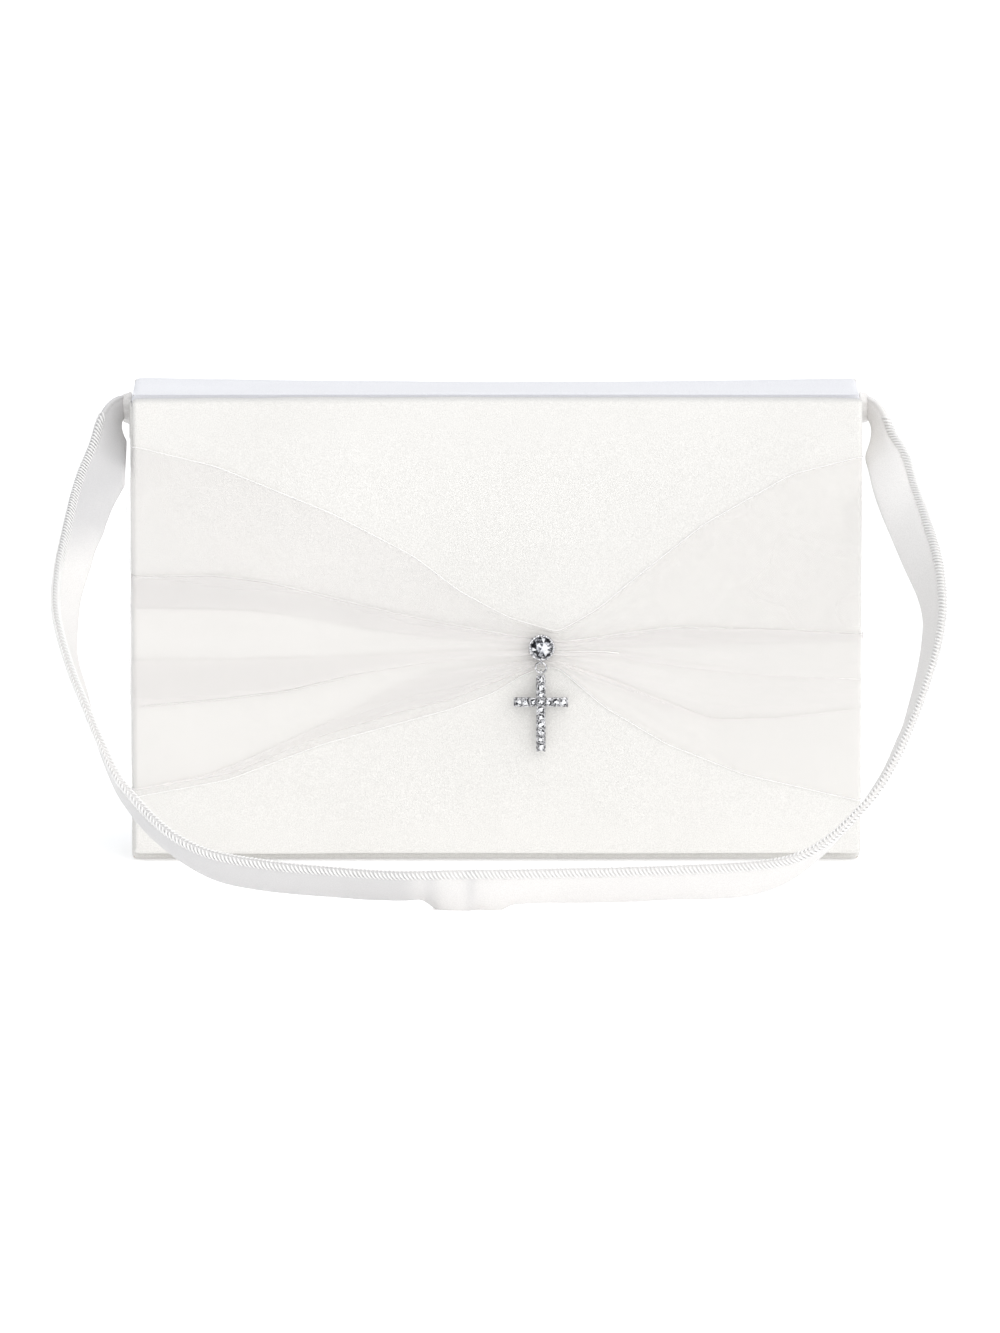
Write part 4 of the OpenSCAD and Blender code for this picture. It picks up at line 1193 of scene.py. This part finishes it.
# the section: a padded band with one folded edge and one thicker stitched edge
sec_w = np.array([-6.1, -6.02, -5.8, -5.4, -4.6, -3.4, -2.0, -0.6, 0.8, 2.2, 3.2, 3.75, 4.05, 4.4, 4.9, 5.5, 5.95, 6.12])
sec_n = np.array([0.0, 0.32, 0.58, 0.74, 0.84, 0.9, 0.92, 0.92, 0.9, 0.86, 0.8, 0.7, 0.66, 0.68, 0.72, 0.72, 0.45, 0.0])
sec = [(w, n) for w, n in zip(sec_w, sec_n)] + [(w, -n) for w, n in zip(sec_w[-2:0:-1], sec_n[-2:0:-1])]
sec = np.array(sec)
ns = len(sec)
taper = 0.35 + 0.65 * np.sqrt(np.clip(1 - (1 - np.clip(np.minimum(sa, LEN - sa) / 2.5, 0, 1)) ** 2, 0, 1))
V = strap_point(sa[:, None], sec[None, :, 0] * (0.9 + 0.1 * taper[:, None]), sec[None, :, 1] * taper[:, None]).reshape(-1, 3)
F = quad_grid(NS, ns, close_v=True)
for rr in (0, NS - 1):
    for k in range(ns // 2):
        a, b, c, d = k, k + 1, (ns - k - 1) % ns, (ns - k) % ns
        q = [rr * ns + v for v in dict.fromkeys((a, b, c, d))]
        if len(q) > 2:
            F.append(q)
strap = build("strap_band", V, F, strap_mat, body="strap", slot="strap_satin", hides=("strap_satin",))

# painted shade on the strap: darker upper left beside the case where its shadow falls, darker lower left turned away
# from the light, and two dark lines on the folds of the bottom kink
mark_painted_shade(strap, lambda x, y, z: (0.53 * smooth01((-100 - x) / 2) * smooth01((z - 84) / 14)
                                     + 0.42 * smooth01((-18 - x) / 7) * smooth01((38 - z) / 14)
                                     + smooth01((-100 - y) / 4) * (0.3 * np.exp(-((x + 17.5) / 2.4) ** 2) + 0.3 * np.exp(-((x + 6.5) / 1.7) ** 2))))

# stay tape inside the band, following the same creases
tw = np.array([-4.3, -4.1, -2.3, 0.0, 2.0, 3.9, 4.1])
tn = np.array([0.0, 0.3, 0.34, 0.34, 0.34, 0.3, 0.0])
tsec = np.array([(w, n) for w, n in zip(tw, tn)] + [(w, -n) for w, n in zip(tw[-2:0:-1], tn[-2:0:-1])])
ts = np.linspace(3.0, LEN - 3.0, NS - 6)
V = strap_point(ts[:, None], tsec[None, :, 0], tsec[None, :, 1]).reshape(-1, 3)
nt_ = len(tsec)
F = quad_grid(len(ts), nt_, close_v=True) + [tuple(range(nt_)), tuple((len(ts) - 1) * nt_ + k for k in range(nt_))]
build("strap_stay_tape", V, F, wadding_mat, body="strap", slot=frame_slot("strap_interfacing"), hides=("strap_interfacing",))

# stitches that wrap the near edge from both faces, in a herringbone
pile = Pile()
step = 1.12
n_st = int((LEN - 14) / step)
for i in range(n_st):
    s0 = 7 + i * step
    for side in (1, -1):
        t = np.linspace(0, 1, 7)
        w = 6.32 - 2.35 * t ** 1.3
        n = side * (0.12 + 0.78 * np.sin(np.minimum(t * 2.2, 1) * math.pi / 2) + 0.06)
        n[-1] *= 0.72
        s = s0 + 1.75 * t
        P = strap_point(s, w, n)
        pile.add(tube(P, [0.16, 0.26, 0.3, 0.29, 0.26, 0.22, 0.12], 7))
v, f = pile.data()
build("strap_edge_stitches", v, f, thread_mat, body="strap", slot="thread", hides=("strap_stitching",))

# straight line of machine stitches beside the wrapped edge, in a darker thread that also paints the dashed shade where
# the edge stitches sink into the cloth
pile = Pile()
for i in range(int((LEN - 40) / 3.6)):
    if np.interp(20 + i * 3.6, sa, SP[:, 0]) < -4:
        continue
    for side in (1, -1):
        s = 20 + i * 3.6 + np.linspace(0, 2.3, 6)
        P = strap_point(s, 3.62 + 0.05 * np.sin(i * 1.7), side * np.array([0.45, 0.6, 0.63, 0.63, 0.6, 0.45]))
        pile.add(tube(P, [0.05, 0.11, 0.13, 0.13, 0.11, 0.05], 6))
v, f = pile.data()
build("strap_topstitch_line", v, f, stitch_shade_mat, body="strap", slot="thread")

# strap ends: a short pleated neck out of each sewn patch on the side of the case
for name, node, sgn, idx in (("left", "left_strap_tab", -1, 0), ("right", "right_strap_tab", 1, NS - 1)):
    lo, hi = box(node)
    P0, W0, N0 = SP[idx], SW[idx], SN[idx]
    outx = np.array([sgn, 0, 0.0])
    # patch
    gx = np.linspace(0, 1, 15)
    cy, cz = (lo[1] + hi[1]) / 2, (lo[2] + hi[2]) / 2
    hy, hz = (hi[1] - lo[1]) / 2, (hi[2] - lo[2]) / 2
    pile = Pile()
    rings_ = []
    for inset, out in ((0.0, -0.05), (0.0, 0.25), (0.12, 0.45), (0.4, 0.58), (1.1, 0.6), (1.3, 0.5), (1.6, 0.58), (3.4, 0.6)):
        p = rounded_ring(hy - inset, hz - inset, max(0.3, 1.0 - inset * 0.4), 10, 5, 4)
        rings_.append(np.column_stack([np.full(len(p), sgn * HX + sgn * out), cy + p[:, 0], cz + p[:, 1]]))
    n = len(rings_[0])
    pile.add((np.concatenate(rings_), quad_grid(len(rings_), n, close_v=True) + strip_caps(len(rings_), n)))
    v, f = pile.data()
    build(f"{name}_strap_patch", v, f, satin, body="case", slot="satin", hides=(node,))
    # neck: the gathered end of the band, from inside the patch into the band
    rings_ = []
    V0 = np.cross(outx, W0)
    V0 /= np.linalg.norm(V0)
    U0 = np.cross(V0, outx)
    U0 /= np.linalg.norm(U0)
    nk = 48
    for j, (x_out, a, b) in enumerate(((0.15, 4.9, 2.3), (0.6, 4.8, 2.2), (0.95, 4.5, 2.0), (1.4, 4.3, 1.8), (1.9, 4.2, 1.6), (2.4, 4.0, 1.4), (2.7, 3.4, 1.1))):
        ring_ = []
        for q in range(nk):
            t = 2 * math.pi * q / nk
            pucker = 1 + 0.05 * math.cos(12 * t + 0.4 * j) * min(1.0, j / 2) + 0.03 * math.cos(7 * t + 1)
            p = np.array([sgn * (HX + x_out), P0[1], P0[2]]) + W0 * 1.9
            ring_.append(p + U0 * a * math.cos(t) * pucker + V0 * b * math.sin(t) * pucker)
        rings_.append(np.array(ring_))
    F = quad_grid(len(rings_), nk, close_v=True)
    F += [tuple(range(nk)), tuple((len(rings_) - 1) * nk + q for q in range(nk))]
    neck = build(f"{name}_strap_neck", np.concatenate(rings_), F, strap_mat, slot="strap_satin")
    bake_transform(neck)

# ---------------------------------------------------------------- studio
floor_me = bpy.data.meshes.new("floor")
s = 9.0
g = np.linspace(-s, s, 25)
fv = [(x, y + 2.0, -0.00002) for x in g for y in g]
floor_me.from_pydata(fv, [], quad_grid(25, 25))
floor = bpy.data.objects.new("floor", floor_me)
bpy.context.scene.collection.objects.link(floor)
fm, fnt, fb = mat("floor_white", (0.95, 0.95, 0.95), 0.95, spec=0.0)
fb.inputs["Emission Color"].default_value = (1, 1, 1, 1)
fb.inputs["Emission Strength"].default_value = 0.26
floor_me.materials.append(fm)

world = bpy.data.worlds.new("studio")
bpy.context.scene.world = world
world.use_nodes = True
bg = world.node_tree.nodes["Background"]
bg.inputs["Color"].default_value = (0.955, 0.972, 1.0, 1)
wn, wl = world.node_tree.nodes, world.node_tree.links
wtc = wn.new("ShaderNodeTexCoord")
wsep = wn.new("ShaderNodeSeparateXYZ")
wmap = wn.new("ShaderNodeMapRange")
wmap.inputs["From Min"].default_value = -0.8
wmap.inputs["From Max"].default_value = 0.8
wmap.inputs["To Min"].default_value = 0.44
wmap.inputs["To Max"].default_value = 0.48
wl.new(wtc.outputs["Generated"], wsep.inputs[0])
wl.new(wsep.outputs["X"], wmap.inputs["Value"])
wl.new(wmap.outputs["Result"], bg.inputs["Strength"])


def area(name, loc, target, size, power, color=(1, 1, 1)):
    d = bpy.data.lights.new(name, "AREA")
    d.shape = "RECTANGLE"
    d.size, d.size_y = size
    d.energy = power
    d.color = color
    o = bpy.data.objects.new(name, d)
    o.location = loc
    o.rotation_euler = (Vector(target) - Vector(loc)).to_track_quat("-Z", "Y").to_euler()
    bpy.context.scene.collection.objects.link(o)
    return o




def sun(name, direction, strength, angle, color=(1, 1, 1)):
    d = bpy.data.lights.new(name, "SUN")
    d.energy = strength
    d.angle = math.radians(angle)
    d.color = color
    o = bpy.data.objects.new(name, d)
    o.location = Vector(direction) * 2
    o.rotation_euler = Vector(direction).to_track_quat("Z", "Y").to_euler()
    bpy.context.scene.collection.objects.link(o)
    return o


sun("key", (0.6, -1.0, 0.85), 1.9, 88, (1.0, 0.985, 0.965))
sun("overhead", (-0.1, 0.35, 1.0), 0.75, 80, (0.93, 0.96, 1.0))
bpy.context.scene.view_settings.view_transform = "Standard"
